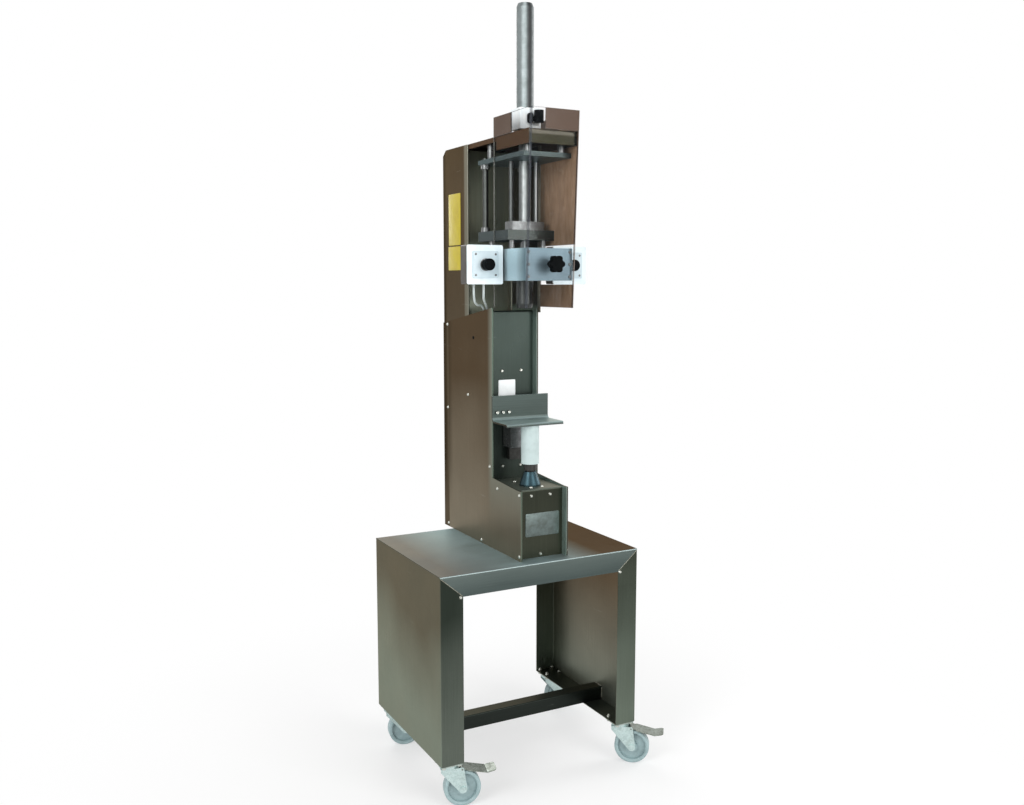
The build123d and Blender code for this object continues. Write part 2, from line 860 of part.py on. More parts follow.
with BuildPart() as head_cap:
    with BuildSketch(Plane.YZ.offset(plate_left)):
        with BuildLine():
            FilletPolyline(
                (cap_front, cap_top - cap_front_depth),
                (cap_front, cap_top),
                (cap_tail_y, cap_top),
                (cap_tail_end, cap_top - cap_rear_depth),
                radius=cap_fold,
            )
            offset(amount=cap_sheet, side=Side.RIGHT)
        make_face()
    extrude(amount=2 * head_half)
    with BuildSketch(Plane.YZ.offset(plate_left)) as lip_outline:
        with BuildLine():
            Polyline(
                (cap_front, cap_top - cap_front_depth),
                (cap_step_y, cap_top - cap_front_depth),
                (cap_step_y, cap_top - cap_rear_depth),
                (cap_tail_end, cap_top - cap_rear_depth),
                (cap_tail_y, cap_top),
                (cap_front, cap_top),
                close=True,
            )
        make_face()
        fillet(lip_outline.vertices().sort_by_distance((plate_left, cap_front, cap_top))[0], cap_fold)
    side_lip = extrude(amount=cap_sheet)
    mirror(side_lip, about=machine_plane)
    with BuildSketch(Plane.XY.offset(cap_top)):
        with Locations((machine_x, head_axis_y)):
            Circle(plunger_hole)
    extrude(amount=-cap_sheet, mode=Mode.SUBTRACT)
head_cap.part.label = "head_cap"
export_step(head_cap.part, "parts/head_cap.step")

# Plates of the corking cage
with BuildPart() as upper_plate:
    with BuildSketch(Plane.XY.offset(upper_plate_bottom)):
        with Locations((machine_x, (upper_plate_front + plate_back) / 2)):
            Rectangle(2 * head_half, plate_back - upper_plate_front)
        with Locations((machine_x, head_axis_y)):
            Circle(plunger_hole, mode=Mode.SUBTRACT)
        with Locations(
            (machine_x - rear_column_x, rear_column_y),
            (machine_x + rear_column_x, rear_column_y),
        ):
            Circle(rear_column_diameter / 2 + shaft_fit, mode=Mode.SUBTRACT)
    extrude(amount=upper_plate_thickness)
upper_plate.part.label = "upper_plate"
export_step(upper_plate.part, "parts/upper_plate.step")

pin_hole = plunger_pin_diameter / 2 + rod_gap

with BuildPart() as lower_plate:
    with BuildSketch(Plane.XY.offset(lower_plate_bottom)):
        with Locations((machine_x, (lower_plate_front + plate_back) / 2)):
            Rectangle(2 * head_half, plate_back - lower_plate_front)
        with Locations((machine_x, head_axis_y)):
            Circle(pin_hole, mode=Mode.SUBTRACT)
    extrude(amount=lower_plate_thickness)
lower_plate.part.label = "lower_plate"
export_step(lower_plate.part, "parts/lower_plate.step")

# Posts: the upper ones carry the cage under the cap, the lower ones the jaw housing
with BuildPart() as head_posts:
    with BuildSketch(Plane.XY.offset(upper_plate_top)):
        with Locations(
            (machine_x - head_post_x, head_post_front_y),
            (machine_x + head_post_x, head_post_front_y),
            (machine_x - head_post_x, head_post_back_y),
            (machine_x + head_post_x, head_post_back_y),
        ):
            Circle(head_post_diameter / 2)
    extrude(amount=cap_gap)
    with BuildSketch(Plane.XY.offset(housing_top)):
        with Locations(
            (machine_x - head_post_x, housing_post_front_y),
            (machine_x + head_post_x, housing_post_front_y),
            (machine_x - head_post_x, housing_post_back_y),
            (machine_x + head_post_x, housing_post_back_y),
        ):
            Circle(housing_post_diameter / 2)
    extrude(amount=lower_plate_gap)
head_posts.part.label = "head_posts"
export_step(head_posts.part, "parts/head_posts.step")

with BuildPart() as rear_columns:
    with BuildSketch(Plane.XY.offset(lower_plate_top)):
        with Locations(
            (machine_x - rear_column_x, rear_column_y),
            (machine_x + rear_column_x, rear_column_y),
        ):
            Circle(rear_column_diameter / 2)
    extrude(amount=cage_height + upper_plate_thickness + rear_column_rise)
rear_columns.part.label = "rear_columns"
export_step(rear_columns.part, "parts/rear_columns.step")

with BuildPart() as column_collars:
    for level in (lower_plate_top, upper_plate_bottom - collar_height):
        with BuildSketch(Plane.XY.offset(level)):
            with Locations(
                (machine_x - rear_column_x, rear_column_y),
                (machine_x + rear_column_x, rear_column_y),
            ):
                Circle(collar_diameter / 2)
                Circle(rear_column_diameter / 2 + shaft_fit, mode=Mode.SUBTRACT)
        extrude(amount=collar_height)
column_collars.part.label = "column_collars"
export_step(column_collars.part, "parts/column_collars.step")

with BuildPart() as front_rods:
    with BuildSketch(Plane.XY.offset(lower_plate_top)):
        with Locations((machine_x - front_rod_x, rod_y), (machine_x + front_rod_x, rod_y)):
            Circle(front_rod_diameter / 2)
    extrude(amount=cage_height)
front_rods.part.label = "front_rods"
export_step(front_rods.part, "parts/front_rods.step")

# Crosshead on the front rods, with the plunger rod above and the cork pin below
with BuildPart() as crosshead:
    with BuildSketch(Plane.XY.offset(crosshead_bottom)):
        with Locations((machine_x, head_axis_y)):
            RectangleRounded(crosshead_width, crosshead_depth, crosshead_corner)
        with Locations((machine_x - front_rod_x, rod_y), (machine_x + front_rod_x, rod_y)):
            Circle(front_rod_diameter / 2 + running_gap, mode=Mode.SUBTRACT)
    extrude(amount=crosshead_height)
crosshead.part.label = "crosshead"
export_step(crosshead.part, "parts/crosshead.step")

piston_bottom = block_top + piston_rest

with BuildPart() as plunger_rod:
    with BuildSketch(Plane.XY.offset(crosshead_top)):
        with Locations((machine_x, head_axis_y)):
            Circle(plunger_diameter / 2)
    extrude(amount=piston_bottom - crosshead_top)
    with BuildSketch(Plane.XY.offset(piston_bottom)):
        with Locations((machine_x, head_axis_y)):
            Circle(cylinder_diameter / 2 - cylinder_wall - running_gap)
    extrude(amount=piston_height)
plunger_rod.part.label = "plunger_rod"
export_step(plunger_rod.part, "parts/plunger_rod.step")

with BuildPart() as plunger_pin:
    with BuildSketch(Plane.XY.offset(crosshead_bottom)):
        with Locations((machine_x, head_axis_y)):
            Circle(plunger_pin_diameter / 2)
    extrude(amount=bell_bottom + plunger_pin_above_mouth - crosshead_bottom)
plunger_pin.part.label = "plunger_pin"
export_step(plunger_pin.part, "parts/plunger_pin.step")

# Jaw housing, bored for the cork pin and for the knob's stud
stud_bore = knob_stud_diameter / 2 + shaft_fit

with BuildPart() as jaw_housing:
    with BuildSketch(Plane.XY.offset(housing_bottom)) as housing_plan:
        with Locations((machine_x, (housing_front + housing_back) / 2)):
            RectangleRounded(2 * head_half, housing_back - housing_front, housing_corner)
        with Locations((machine_x, head_axis_y)):
            Circle(pin_hole, mode=Mode.SUBTRACT)
    extrude(amount=housing_height)
    with BuildSketch(Plane.XZ.offset(-housing_front)):
        with Locations((machine_x, housing_middle)):
            Circle(stud_bore)
    extrude(amount=-(knob_stud_depth + rod_gap), mode=Mode.SUBTRACT)
jaw_housing.part.label = "jaw_housing"
export_step(jaw_housing.part, "parts/jaw_housing.step")

# Centring bell: the cone that finds the bottle's mouth
with BuildPart() as centring_bell:
    with BuildSketch(Plane(origin=(machine_x, head_axis_y, bell_bottom), x_dir=(1, 0, 0), z_dir=(0, -1, 0))):
        with BuildLine():
            Polyline(
                (bell_mouth_diameter / 2, 0),
                (bell_nose_diameter / 2, 0),
                (bell_diameter / 2, bell_nose_height),
                (bell_diameter / 2, bell_length),
                (pin_hole, bell_length),
                (pin_hole, bell_mouth_depth),
                close=True,
            )
        make_face()
    revolve(axis=Axis((machine_x, head_axis_y, 0), (0, 0, 1)))
centring_bell.part.label = "centring_bell"
export_step(centring_bell.part, "parts/centring_bell.step")

# Clear guard: a sheet folded round the front of the head, leaning in front
with BuildPart() as guard:
    with BuildSketch(Plane.YZ.offset(machine_left)):
        with BuildLine():
            Polyline(
                (guard_face(guard_bottom), guard_bottom),
                (guard_back, guard_bottom),
                (guard_back, guard_top),
                (guard_front, guard_top),
                close=True,
            )
        make_face()
    extrude(amount=2 * machine_half)
    front_edges = guard.faces().sort_by(Axis.Y)[0].edges().sort_by(Axis.X)
    fillet([front_edges[0], front_edges[-1]], guard_fold)
    level_faces = guard.faces().filter_by(Axis.Z)
    back_face = guard.faces().sort_by(Axis.Y)[-1]
    offset(amount=-guard_sheet, openings=[*level_faces, back_face])
    with BuildSketch(Plane.XZ.offset(-guard_front)):
        with Locations((machine_x, housing_middle)):
            Circle(stud_bore + rod_gap)
    extrude(amount=-(guard_lean + guard_sheet + guard_front_gap), mode=Mode.SUBTRACT)
guard.part.label = "guard"
export_step(guard.part, "parts/guard.step")

# Star knob on a hub, with its stud in the jaw housing
hub_back = guard_face(housing_middle + knob_hub_diameter / 2) - running_gap
knob_back = hub_back - knob_hub_height

with BuildPart() as knob:
    with BuildSketch(Plane.XZ.offset(-knob_back)):
        with Locations((machine_x, housing_middle)):
            Circle(knob_core_diameter / 2)
            with PolarLocations((knob_diameter - knob_lobe_diameter) / 2, knob_lobes):
                Circle(knob_lobe_diameter / 2)
    extrude(amount=knob_height)
    chamfer(knob.faces().sort_by(Axis.Y)[0].edges(), knob_edge)
    with BuildSketch(Plane.XZ.offset(-knob_back)):
        with Locations((machine_x, housing_middle)):
            Circle(knob_hub_diameter / 2)
    extrude(amount=-knob_hub_height)
    with BuildSketch(Plane.XZ.offset(-hub_back)):
        with Locations((machine_x, housing_middle)):
            Circle(knob_stud_diameter / 2)
    extrude(amount=hub_back - housing_front - knob_stud_depth)
knob.part.label = "knob"
export_step(knob.part, "parts/knob.step")

# Cylinder on the cap: dark spacer, valve block, tube and end cap
with BuildPart() as cylinder_spacer:
    with BuildSketch(Plane.XY.offset(cap_top)):
        with Locations((machine_x, head_axis_y)):
            Circle(spacer_diameter / 2)
            Circle(plunger_hole, mode=Mode.SUBTRACT)
    extrude(amount=spacer_height)
cylinder_spacer.part.label = "cylinder_spacer"
export_step(cylinder_spacer.part, "parts/cylinder_spacer.step")

with BuildPart() as cylinder_block:
    with BuildSketch(Plane.XY.offset(block_bottom)):
        with Locations((machine_x, head_axis_y)):
            RectangleRounded(block_size, block_size, block_corner)
            Circle(plunger_hole, mode=Mode.SUBTRACT)
    extrude(amount=block_height)
cylinder_block.part.label = "cylinder_block"
export_step(cylinder_block.part, "parts/cylinder_block.step")

with BuildPart() as cylinder_tube:
    with BuildSketch(Plane.XY.offset(block_top)):
        with Locations((machine_x, head_axis_y)):
            Circle(cylinder_diameter / 2)
            Circle(cylinder_diameter / 2 - cylinder_wall, mode=Mode.SUBTRACT)
    extrude(amount=cylinder_length)
cylinder_tube.part.label = "cylinder_tube"
export_step(cylinder_tube.part, "parts/cylinder_tube.step")

with BuildPart() as cylinder_end_cap:
    with BuildSketch(Plane.XY.offset(cylinder_top)):
        with Locations((machine_x, head_axis_y)):
            Circle(cylinder_diameter / 2)
    extrude(amount=end_cap_height)
    chamfer(cylinder_end_cap.faces().sort_by(Axis.Z)[-1].edges(), end_cap_bevel, end_cap_bevel_in)
cylinder_end_cap.part.label = "cylinder_end_cap"
export_step(cylinder_end_cap.part, "parts/cylinder_end_cap.step")

# Port plug and elbow fitting on the block's front
block_front = head_axis_y - block_size / 2
port_z = (block_bottom + block_top) / 2

with BuildPart() as block_plug:
    with BuildSketch(Plane.XZ.offset(-block_front)):
        with Locations((machine_x + plug_offset_x, port_z)):
            SlotOverall(plug_height, plug_width, rotation=90)
    extrude(amount=plug_depth)
block_plug.part.label = "block_plug"
export_step(block_plug.part, "parts/block_plug.step")

barrel_y = block_front - fitting_stub_length - fitting_barrel_diameter / 2 + fitting_stub_diameter / 2

with BuildPart() as elbow_fitting:
    with BuildSketch(Plane.XZ.offset(-block_front)):
        with Locations((machine_x + fitting_offset_x, port_z)):
            Circle(fitting_stub_diameter / 2)
    extrude(amount=block_front - barrel_y)
    with BuildSketch(Plane.XY.offset(port_z + fitting_drop - fitting_barrel_height / 2)):
        with Locations((machine_x + fitting_offset_x, barrel_y)):
            Circle(fitting_barrel_diameter / 2)
    extrude(amount=fitting_barrel_height)
elbow_fitting.part.label = "elbow_fitting"
export_step(elbow_fitting.part, "parts/elbow_fitting.step")


# Two-hand control box: base, raised cover and palm button, mirrored to the other side
stem_back = box_front + button_stem_in
stem_bore = button_stem_diameter / 2 + running_gap
box_x = machine_x - box_centre

with BuildPart() as control_box_left:
    with BuildSketch(Plane.XZ.offset(-box_front)):
        with Locations((box_x, housing_middle)):
            RectangleRounded(box_width, box_height, box_corner)
    extrude(amount=-box_depth)
    with BuildSketch(Plane.XZ.offset(-box_front)):
        with Locations((box_x, housing_middle)):
            Circle(stem_bore)
    extrude(amount=-box_depth, mode=Mode.SUBTRACT)
control_box_left.part.label = "control_box_left"
export_step(control_box_left.part, "parts/control_box_left.step")

with BuildPart() as box_cover_left:
    with BuildSketch(Plane.XZ.offset(-cover_front)):
        with Locations((box_x, housing_middle)):
            RectangleRounded(box_cover_width, box_cover_height, box_cover_corner)
            Circle(stem_bore, mode=Mode.SUBTRACT)
    extrude(amount=-box_cover_depth)
box_cover_left.part.label = "box_cover_left"
export_step(box_cover_left.part, "parts/box_cover_left.step")

with BuildPart() as button_left:
    with BuildSketch(Plane.XZ.offset(-button_back)):
        with Locations((box_x, housing_middle)):
            Circle(button_diameter / 2)
    extrude(amount=button_height)
    fillet(button_left.faces().sort_by(Axis.Y)[0].edges(), button_edge)
    with BuildSketch(Plane.XZ.offset(-button_back)):
        with Locations((box_x, housing_middle)):
            Circle(button_stem_diameter / 2)
    extrude(amount=button_back - stem_back + button_travel_room)
button_left.part.label = "button_left"
export_step(button_left.part, "parts/button_left.step")

with BuildPart() as bracket_left:
    with BuildSketch(Plane.XY.offset(housing_middle - bracket_height / 2)):
        with BuildLine():
            FilletPolyline(
                (machine_left, box_back + bracket_flange),
                (machine_left, box_back),
                (machine_left - bracket_reach, box_back),
                radius=bracket_sheet / 2,
            )
            offset(amount=bracket_sheet, side=Side.RIGHT)
        make_face()
    extrude(amount=bracket_height)

for name, left_part in {
    "control_box": control_box_left.part,
    "box_cover": box_cover_left.part,
    "button": button_left.part,
}.items():
    right_part = mirror(left_part, about=machine_plane)
    right_part.label = f"{name}_right"
    export_step(right_part, f"parts/{name}_right.step")

box_brackets = Compound(children=[bracket_left.part, mirror(bracket_left.part, about=machine_plane)])
box_brackets.label = "box_brackets"
export_step(box_brackets, "parts/box_brackets.step")

# Air tubes from the left box over the column's edge into its slot
box_bottom = housing_middle - box_height / 2


def bend_radii(points):
    radii = []
    for before, corner, after in zip(points, points[1:], points[2:]):
        run_in = Vector(*corner) - Vector(*before)
        run_out = Vector(*after) - Vector(*corner)
        turn = radians(run_in.get_angle(run_out))
        radii.append(tube_bend_share * min(run_in.length, run_out.length) / tan(turn / 2))
    return radii


for name, route in tube_routes.items():
    points = [(x, y, box_bottom + z) for x, y, z in route["from_box"]]
    points += [(x, y, column_top + z) for x, y, z in route["from_column"]]
    with BuildPart() as tube:
        with BuildLine() as tube_path:
            FilletPolyline(*points, radius=bend_radii(points))
        with BuildSketch(tube_path.wire() ^ 0):
            Circle(tube_diameter / 2)
        sweep()
    tube.part.label = name
    print(name, "is", round(tube_path.wire().length, 1), "mm long")
    export_step(tube.part, f"parts/{name}.step")

# Dome screw heads on the column, the foot and the stand's front corners
side_screws = [
    (foot_front + foot_screw_inset, table_height + foot_screw_rise),
    (foot_front + foot_screw_inset, foot_top - foot_screw_drop),
    (column_front_y - heel_screw_inset, foot_top - heel_screw_drop),
    (column_front_y + hem_screw_inset, foot_top + hem_screw_rise),
    (table_screw_y, table_height + table_screw_rise),
    (middle_screw_y, table_height + middle_screw_height),
    (column_back + rear_screw_inset, table_height + rear_screw_rise),
    (column_back + rear_screw_inset, table_height + rear_screw_height),
    (column_back + rear_screw_inset, seam_height(column_back) - rear_screw_drop),
]
front_screws = [
    (upper_front_screw_x, column_top - upper_front_screw_drop),
    (lower_front_screw_x, foot_top + lower_front_screw_rise),
]
foot_front_screws = [
    (-foot_plate_screw_x, foot_top - foot_plate_screw_drop),
    (foot_plate_screw_x, foot_top - foot_plate_screw_drop),
    (0, table_height + foot_plate_screw_rise),
]
foot_top_screws = [
    (foot_top_screw_x, lift_y + foot_top_screw_back),
    (foot_top_screw_x, lift_y - foot_top_screw_front),
]


def screw_head():
    Cone(screw_diameter / 2, screw_top_diameter / 2, screw_height, align=(Align.CENTER, Align.CENTER, Align.MIN))


with BuildPart() as body_screws:
    for side in (-1, 1):
        side_x = machine_x + side * machine_half
        for y, z in side_screws:
            with Locations(Plane(origin=(side_x, y, z), z_dir=(side, 0, 0))):
                screw_head()
        for x, z in front_screws:
            with Locations(Plane(origin=(machine_x + side * x, column_plate_y, z), z_dir=(0, -1, 0))):
                screw_head()
        for x, y in foot_top_screws:
            with Locations(Plane(origin=(machine_x + side * x, y, foot_top), z_dir=(0, 0, 1))):
                screw_head()
        apron_screw_x = side * (half_width - apron_screw_inset)
        apron_screw_z = apron_bottom - apron_screw_drop
        with Locations(Plane(origin=(apron_screw_x, -half_depth, apron_screw_z), z_dir=(0, -1, 0))):
            screw_head()
    for x, z in foot_front_screws:
        with Locations(Plane(origin=(machine_x + x, foot_plate_y, z), z_dir=(0, -1, 0))):
            screw_head()
body_screws.part.label = "body_screws"
export_step(body_screws.part, "parts/body_screws.step")
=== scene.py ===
import math

import bmesh
import bpy
from mathutils import Matrix, Vector


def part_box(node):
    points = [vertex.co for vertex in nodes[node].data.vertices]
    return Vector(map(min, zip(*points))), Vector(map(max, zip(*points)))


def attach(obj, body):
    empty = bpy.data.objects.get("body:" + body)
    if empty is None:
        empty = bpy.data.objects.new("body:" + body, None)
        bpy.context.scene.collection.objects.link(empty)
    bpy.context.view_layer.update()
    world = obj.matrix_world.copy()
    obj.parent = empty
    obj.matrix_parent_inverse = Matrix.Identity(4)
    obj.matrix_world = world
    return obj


# Corking machine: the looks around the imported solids. Metres, Z up, front towards -Y.
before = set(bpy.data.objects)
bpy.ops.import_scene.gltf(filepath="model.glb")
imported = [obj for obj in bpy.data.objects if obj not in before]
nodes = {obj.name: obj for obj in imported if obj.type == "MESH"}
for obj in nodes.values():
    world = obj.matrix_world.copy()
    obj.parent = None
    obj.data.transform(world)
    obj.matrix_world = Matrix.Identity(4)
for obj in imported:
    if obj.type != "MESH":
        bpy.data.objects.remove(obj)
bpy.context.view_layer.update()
print("solids loaded:", len(nodes))


# Helpers for node trees
def tone(red, green, blue):  # a colour as it looks on screen, 0 to 255
    shares = [part / 255 for part in (red, green, blue)]
    return tuple(s / 12.92 if s <= 0.04045 else ((s + 0.055) / 1.055) ** 2.4 for s in shares) + (1.0,)


def feed(tree, socket, value):
    if isinstance(value, bpy.types.NodeSocket):
        tree.links.new(value, socket)
    else:
        socket.default_value = value


def put(tree, kind, inputs=None, **settings):
    node = tree.nodes.new(kind)
    for key, value in settings.items():
        setattr(node, key, value)
    for key, value in (inputs or {}).items():
        feed(tree, node.inputs[key], value)
    return node


def calc(tree, operation, first, second=0.0, third=0.0, clamp=False):
    node = put(tree, "ShaderNodeMath", operation=operation, use_clamp=clamp)
    for socket, value in zip(node.inputs, (first, second, third)):
        feed(tree, socket, value)
    return node.outputs[0]


def times(tree, first, *others):
    for other in others:
        first = calc(tree, "MULTIPLY", first, other)
    return first


def most(tree, first, *others):
    for other in others:
        first = calc(tree, "MAXIMUM", first, other)
    return first


def spread(tree, value, low, high, newLow=0.0, newHigh=1.0, smooth=False):
    ends = {"Value": value, "From Min": low, "From Max": high, "To Min": newLow, "To Max": newHigh}
    node = put(tree, "ShaderNodeMapRange", ends, interpolation_type="SMOOTHSTEP" if smooth else "LINEAR")
    return node.outputs["Result"]


def past(tree, value, line, soft):  # 0 before a line and 1 past it, or turned round where soft is negative
    return spread(tree, value, line - soft, line + soft)


noiseReach = (0.3, 0.7)  # most of a noise lies between these values


def sway(tree, field, low, high):
    return spread(tree, field, *noiseReach, low, high)


def around(middle, parts):
    return [middle + part for part in parts]


def mixed(tree, share, first, second, blend="MIX"):
    inputs = {0: share, 6: first, 7: second}
    return put(tree, "ShaderNodeMix", inputs, data_type="RGBA", blend_type=blend).outputs[2]


def shaded(tree, skin, level):
    return mixed(tree, 1.0, skin, level, "MULTIPLY")


def axes(tree, vector):
    return put(tree, "ShaderNodeSeparateXYZ", {"Vector": vector}).outputs


def noise(tree, place, scale, detail=3.0, rough=0.5, stretch=(1, 1, 1), turn=(0, 0, 0)):
    run = put(tree, "ShaderNodeMapping", {"Vector": place, "Scale": stretch, "Rotation": turn})
    inputs = {"Vector": run.outputs[0], "Scale": scale, "Detail": detail, "Roughness": rough}
    return put(tree, "ShaderNodeTexNoise", inputs).outputs["Fac"]


def startFinish(name, metallic=0.0, **plain):
    finish = bpy.data.materials.new(name)
    finish.use_nodes = True
    tree = finish.node_tree
    shader = tree.nodes["Principled BSDF"]
    shader.inputs["Metallic"].default_value = metallic
    for key, value in plain.items():
        shader.inputs[key.replace("_", " ")].default_value = value
    where = put(tree, "ShaderNodeTexCoord")
    return finish, tree, shader, where


def endFinish(tree, shader, skin, gloss, height, strength, distance):
    relief = put(tree, "ShaderNodeBump", {"Strength": strength, "Distance": distance, "Height": height})
    for key, value in (("Base Color", skin), ("Roughness", gloss), ("Normal", relief.outputs[0])):
        feed(tree, shader.inputs[key], value)


# Brushed stainless sheet. Its tone differs by the way a face looks, and drifts from low to high: both are
# painted light, standing in for the light, shade and reflections on each face.
# What a sheet's own look doesn't say is as here.
sheetPlain = {
    "metal": 0.85, "shine": 0.4, "edgeTint": (0.6, 0.52, 0.44, 1.0), "rough": 0.36, "grain": "up",
    "drift": 0.3, "folds": (), "cloud": 2.6, "facingLeft": (-0.5, -0.9), "bendHighlightRun": (0.03, 0.14),
    "streak": 0.1,
    "scratch": 7.0, "scratchRun": (1, 1, 9), "scratchTurn": (0.5, 0.35, 0.2), "scratchTone": (190, 196, 190),
    "scratchShare": (0.66, 0.74, 0.0, 0.16), "smudge": 5.5, "smudgeGloss": (-0.07, 0.09),
    "grainGloss": (-0.05, 0.05), "bump": 0.18, "bumpDepth": 0.0004,
}
grainRuns = {"up": (430, 430, 5), "across": (5, 430, 430)}


def sheetSteel(name, ownLook):
    look = {**sheetPlain, **ownLook}
    finish, tree, shader, where = startFinish(name, look["metal"], Specular_IOR_Level=look["shine"],
                                              Specular_Tint=look["edgeTint"])
    place = where.outputs["Object"]
    along, facing = axes(tree, place), axes(tree, where.outputs["Normal"])
    cloud = noise(tree, place, look["cloud"], 2.0, 0.45)
    # painted reflection and painted shade: the tone rises from low to high and differs by the way a face
    # looks
    rise = spread(tree, along["Z"], look["low"], look["high"])
    level = calc(tree, "ADD", rise, sway(tree, cloud, -look["drift"], look["drift"]), clamp=True)
    side = mixed(tree, level, tone(*look["sideLow"]), tone(*look["sideHigh"]))
    front = mixed(tree, level, tone(*look["frontLow"]), tone(*look["frontHigh"]))
    top = tone(*look["top"])
    # painted reflection across a top: a pale middle and a brown right
    if "topMiddleReflection" in look:
        top = mixed(tree, spread(tree, along["X"], *look["middleRun"]), top, tone(*look["topMiddleReflection"]))
        top = mixed(tree, spread(tree, along["X"], *look["rightRun"]), top, tone(*look["topRightReflection"]))
    if "within" in look:  # faces that look to the left, on a sheet whose outside looks to the right: painted shade and painted reflection on the inner face, by height
        higher = spread(tree, along["Z"], *look["withinRise"])
        within = mixed(tree, higher, tone(*look["within"]), tone(*look["withinHigh"]))
        side = mixed(tree, spread(tree, facing["X"], *look["facingLeft"]), side, within)
    leftward = calc(tree, "LESS_THAN", facing["X"], 0.0)
    for fold, foldTone in look["folds"]:  # painted light on the left side towards a fold or a hem: a lighter fold tone is a painted highlight along the round, a darker one painted shade
        share = times(tree, leftward, spread(tree, along["Y"], *fold))
        if "foldRise" in look:
            share = times(tree, share, spread(tree, along["Z"], *look["foldRise"]))
        side = mixed(tree, share, side, tone(*foldTone))
    sideways = calc(tree, "POWER", calc(tree, "ABSOLUTE", facing["X"]), 2.0)
    upward = calc(tree, "POWER", calc(tree, "ABSOLUTE", facing["Z"]), 2.0)
    skin = mixed(tree, upward, mixed(tree, sideways, front, side), top)
    if "bendHighlight" in look:  # a painted highlight along the rounded edge of a fold
        turning = times(tree, upward, calc(tree, "SUBTRACT", 1.0, upward))
        skin = mixed(tree, spread(tree, turning, *look["bendHighlightRun"]), skin, tone(*look["bendHighlight"]))

    grain = noise(tree, place, 1.0, 4.0, 0.62, grainRuns[look["grain"]])
    skin = shaded(tree, skin, sway(tree, grain, 1 - look["streak"], 1 + look["streak"]))
    scratch = noise(tree, place, look["scratch"], 6.0, 0.7, look["scratchRun"], look["scratchTurn"])
    skin = mixed(tree, spread(tree, scratch, *look["scratchShare"]), skin, tone(*look["scratchTone"]))
    smudge = noise(tree, place, look["smudge"], 4.0, 0.6)
    brushed = sway(tree, grain, *around(look["rough"], look["grainGloss"]))
    gloss = calc(tree, "ADD", sway(tree, smudge, *look["smudgeGloss"]), brushed)
    endFinish(tree, shader, skin, gloss, grain, look["bump"], look["bumpDepth"])
    return finish


# Turned or ground metal: fine rings or lines and a few dull spots
machinedPlain = {"metal": 0.9, "shine": 0.5, "lines": (60, 60, 900), "spots": 60.0, "spotReach": (0.35, 0.7),
                 "lineShade": (0.92, 1.08), "lineGloss": (-0.04, 0.05), "spotGloss": (-0.04, 0.07),
                 "bump": 0.1, "bumpDepth": 0.0003}


def machinedMetal(name, ownLook):
    look = {**machinedPlain, **ownLook}
    finish, tree, shader, where = startFinish(name, look["metal"], Specular_IOR_Level=look["shine"])
    place = where.outputs["Object"]
    lines = noise(tree, place, 1.0, 3.0, 0.6, look["lines"])
    spots = noise(tree, place, look["spots"], 3.0, 0.6)
    skin = mixed(tree, spread(tree, spots, *look["spotReach"]), tone(*look["colour"]), tone(*look["worn"]))
    if "right" in look:  # the right one of a pair is painted brighter: painted light, where it stands in more light
        litRight = calc(tree, "GREATER_THAN", axes(tree, place)["X"], 0.0)
        skin = mixed(tree, litRight, skin, tone(*look["right"]))
    if "bands" in look:  # painted reflection: soft bright and dark bands along a polished round, by the way its skin faces
        facing = axes(tree, where.outputs["Normal"])
        turn = calc(tree, "ARCTAN2", facing["Y"], facing["X"])
        ramp = put(tree, "ShaderNodeValToRGB", {"Fac": spread(tree, turn, -math.pi, math.pi)})
        ramp.color_ramp.interpolation = "EASE"
        stops = ramp.color_ramp.elements
        for at, level in look["bands"]:
            stop = stops.new(at / 360)
            stop.color = tone(level, level, level)
        stops.remove(stops[0])
        stops.remove(stops[-1])
        skin = shaded(tree, skin, ramp.outputs["Color"])
    skin = shaded(tree, skin, sway(tree, lines, *look["lineShade"]))
    dulled = sway(tree, spots, *around(look["rough"], look["spotGloss"]))
    gloss = calc(tree, "ADD", sway(tree, lines, *look["lineGloss"]), dulled)
    endFinish(tree, shader, skin, gloss, lines, look["bump"], look["bumpDepth"])
    return finish


# Zinc plating: small spangle, cooler and warmer flecks, dust in the low places
zincPlain = {"metal": 0.75, "spangle": 260.0, "dusty": 34.0, "dustShare": (0.5, 0.72, 0.0, 0.45),
             "dustGloss": (0.0, 0.14), "fleckGloss": (-0.05, 0.05), "bump": 0.08, "bumpDepth": 0.0004}


def zincPlating(name, ownLook):
    look = {**zincPlain, **ownLook}
    finish, tree, shader, where = startFinish(name, look["metal"])
    place = where.outputs["Object"]
    spangle = put(tree, "ShaderNodeTexVoronoi", {"Vector": place, "Scale": look["spangle"]})
    fleck = put(tree, "ShaderNodeSeparateColor", {"Color": spangle.outputs["Color"]})
    dust = noise(tree, place, look["dusty"], 4.0, 0.6)
    skin = mixed(tree, fleck.outputs[0], tone(*look["colour"]), tone(*look["fleck"]))
    skin = mixed(tree, spread(tree, dust, *look["dustShare"]), skin, tone(*look["dust"]))
    dulled = sway(tree, dust, *around(look["rough"], look["dustGloss"]))
    gloss = calc(tree, "ADD", spread(tree, fleck.outputs[1], 0, 1, *look["fleckGloss"]), dulled)
    endFinish(tree, shader, skin, gloss, dust, look["bump"], look["bumpDepth"])
    return finish


# Moulded plastic: fine skin texture and light handling marks
plasticPlain = {"shine": 0.5, "grain": 900.0, "marks": 26.0, "markReach": (0.45, 0.75), "lidSeam": 0.0004,
                "grainShade": (0.97, 1.03), "markGloss": (-0.06, 0.1), "bump": 0.15, "bumpDepth": 0.0002}


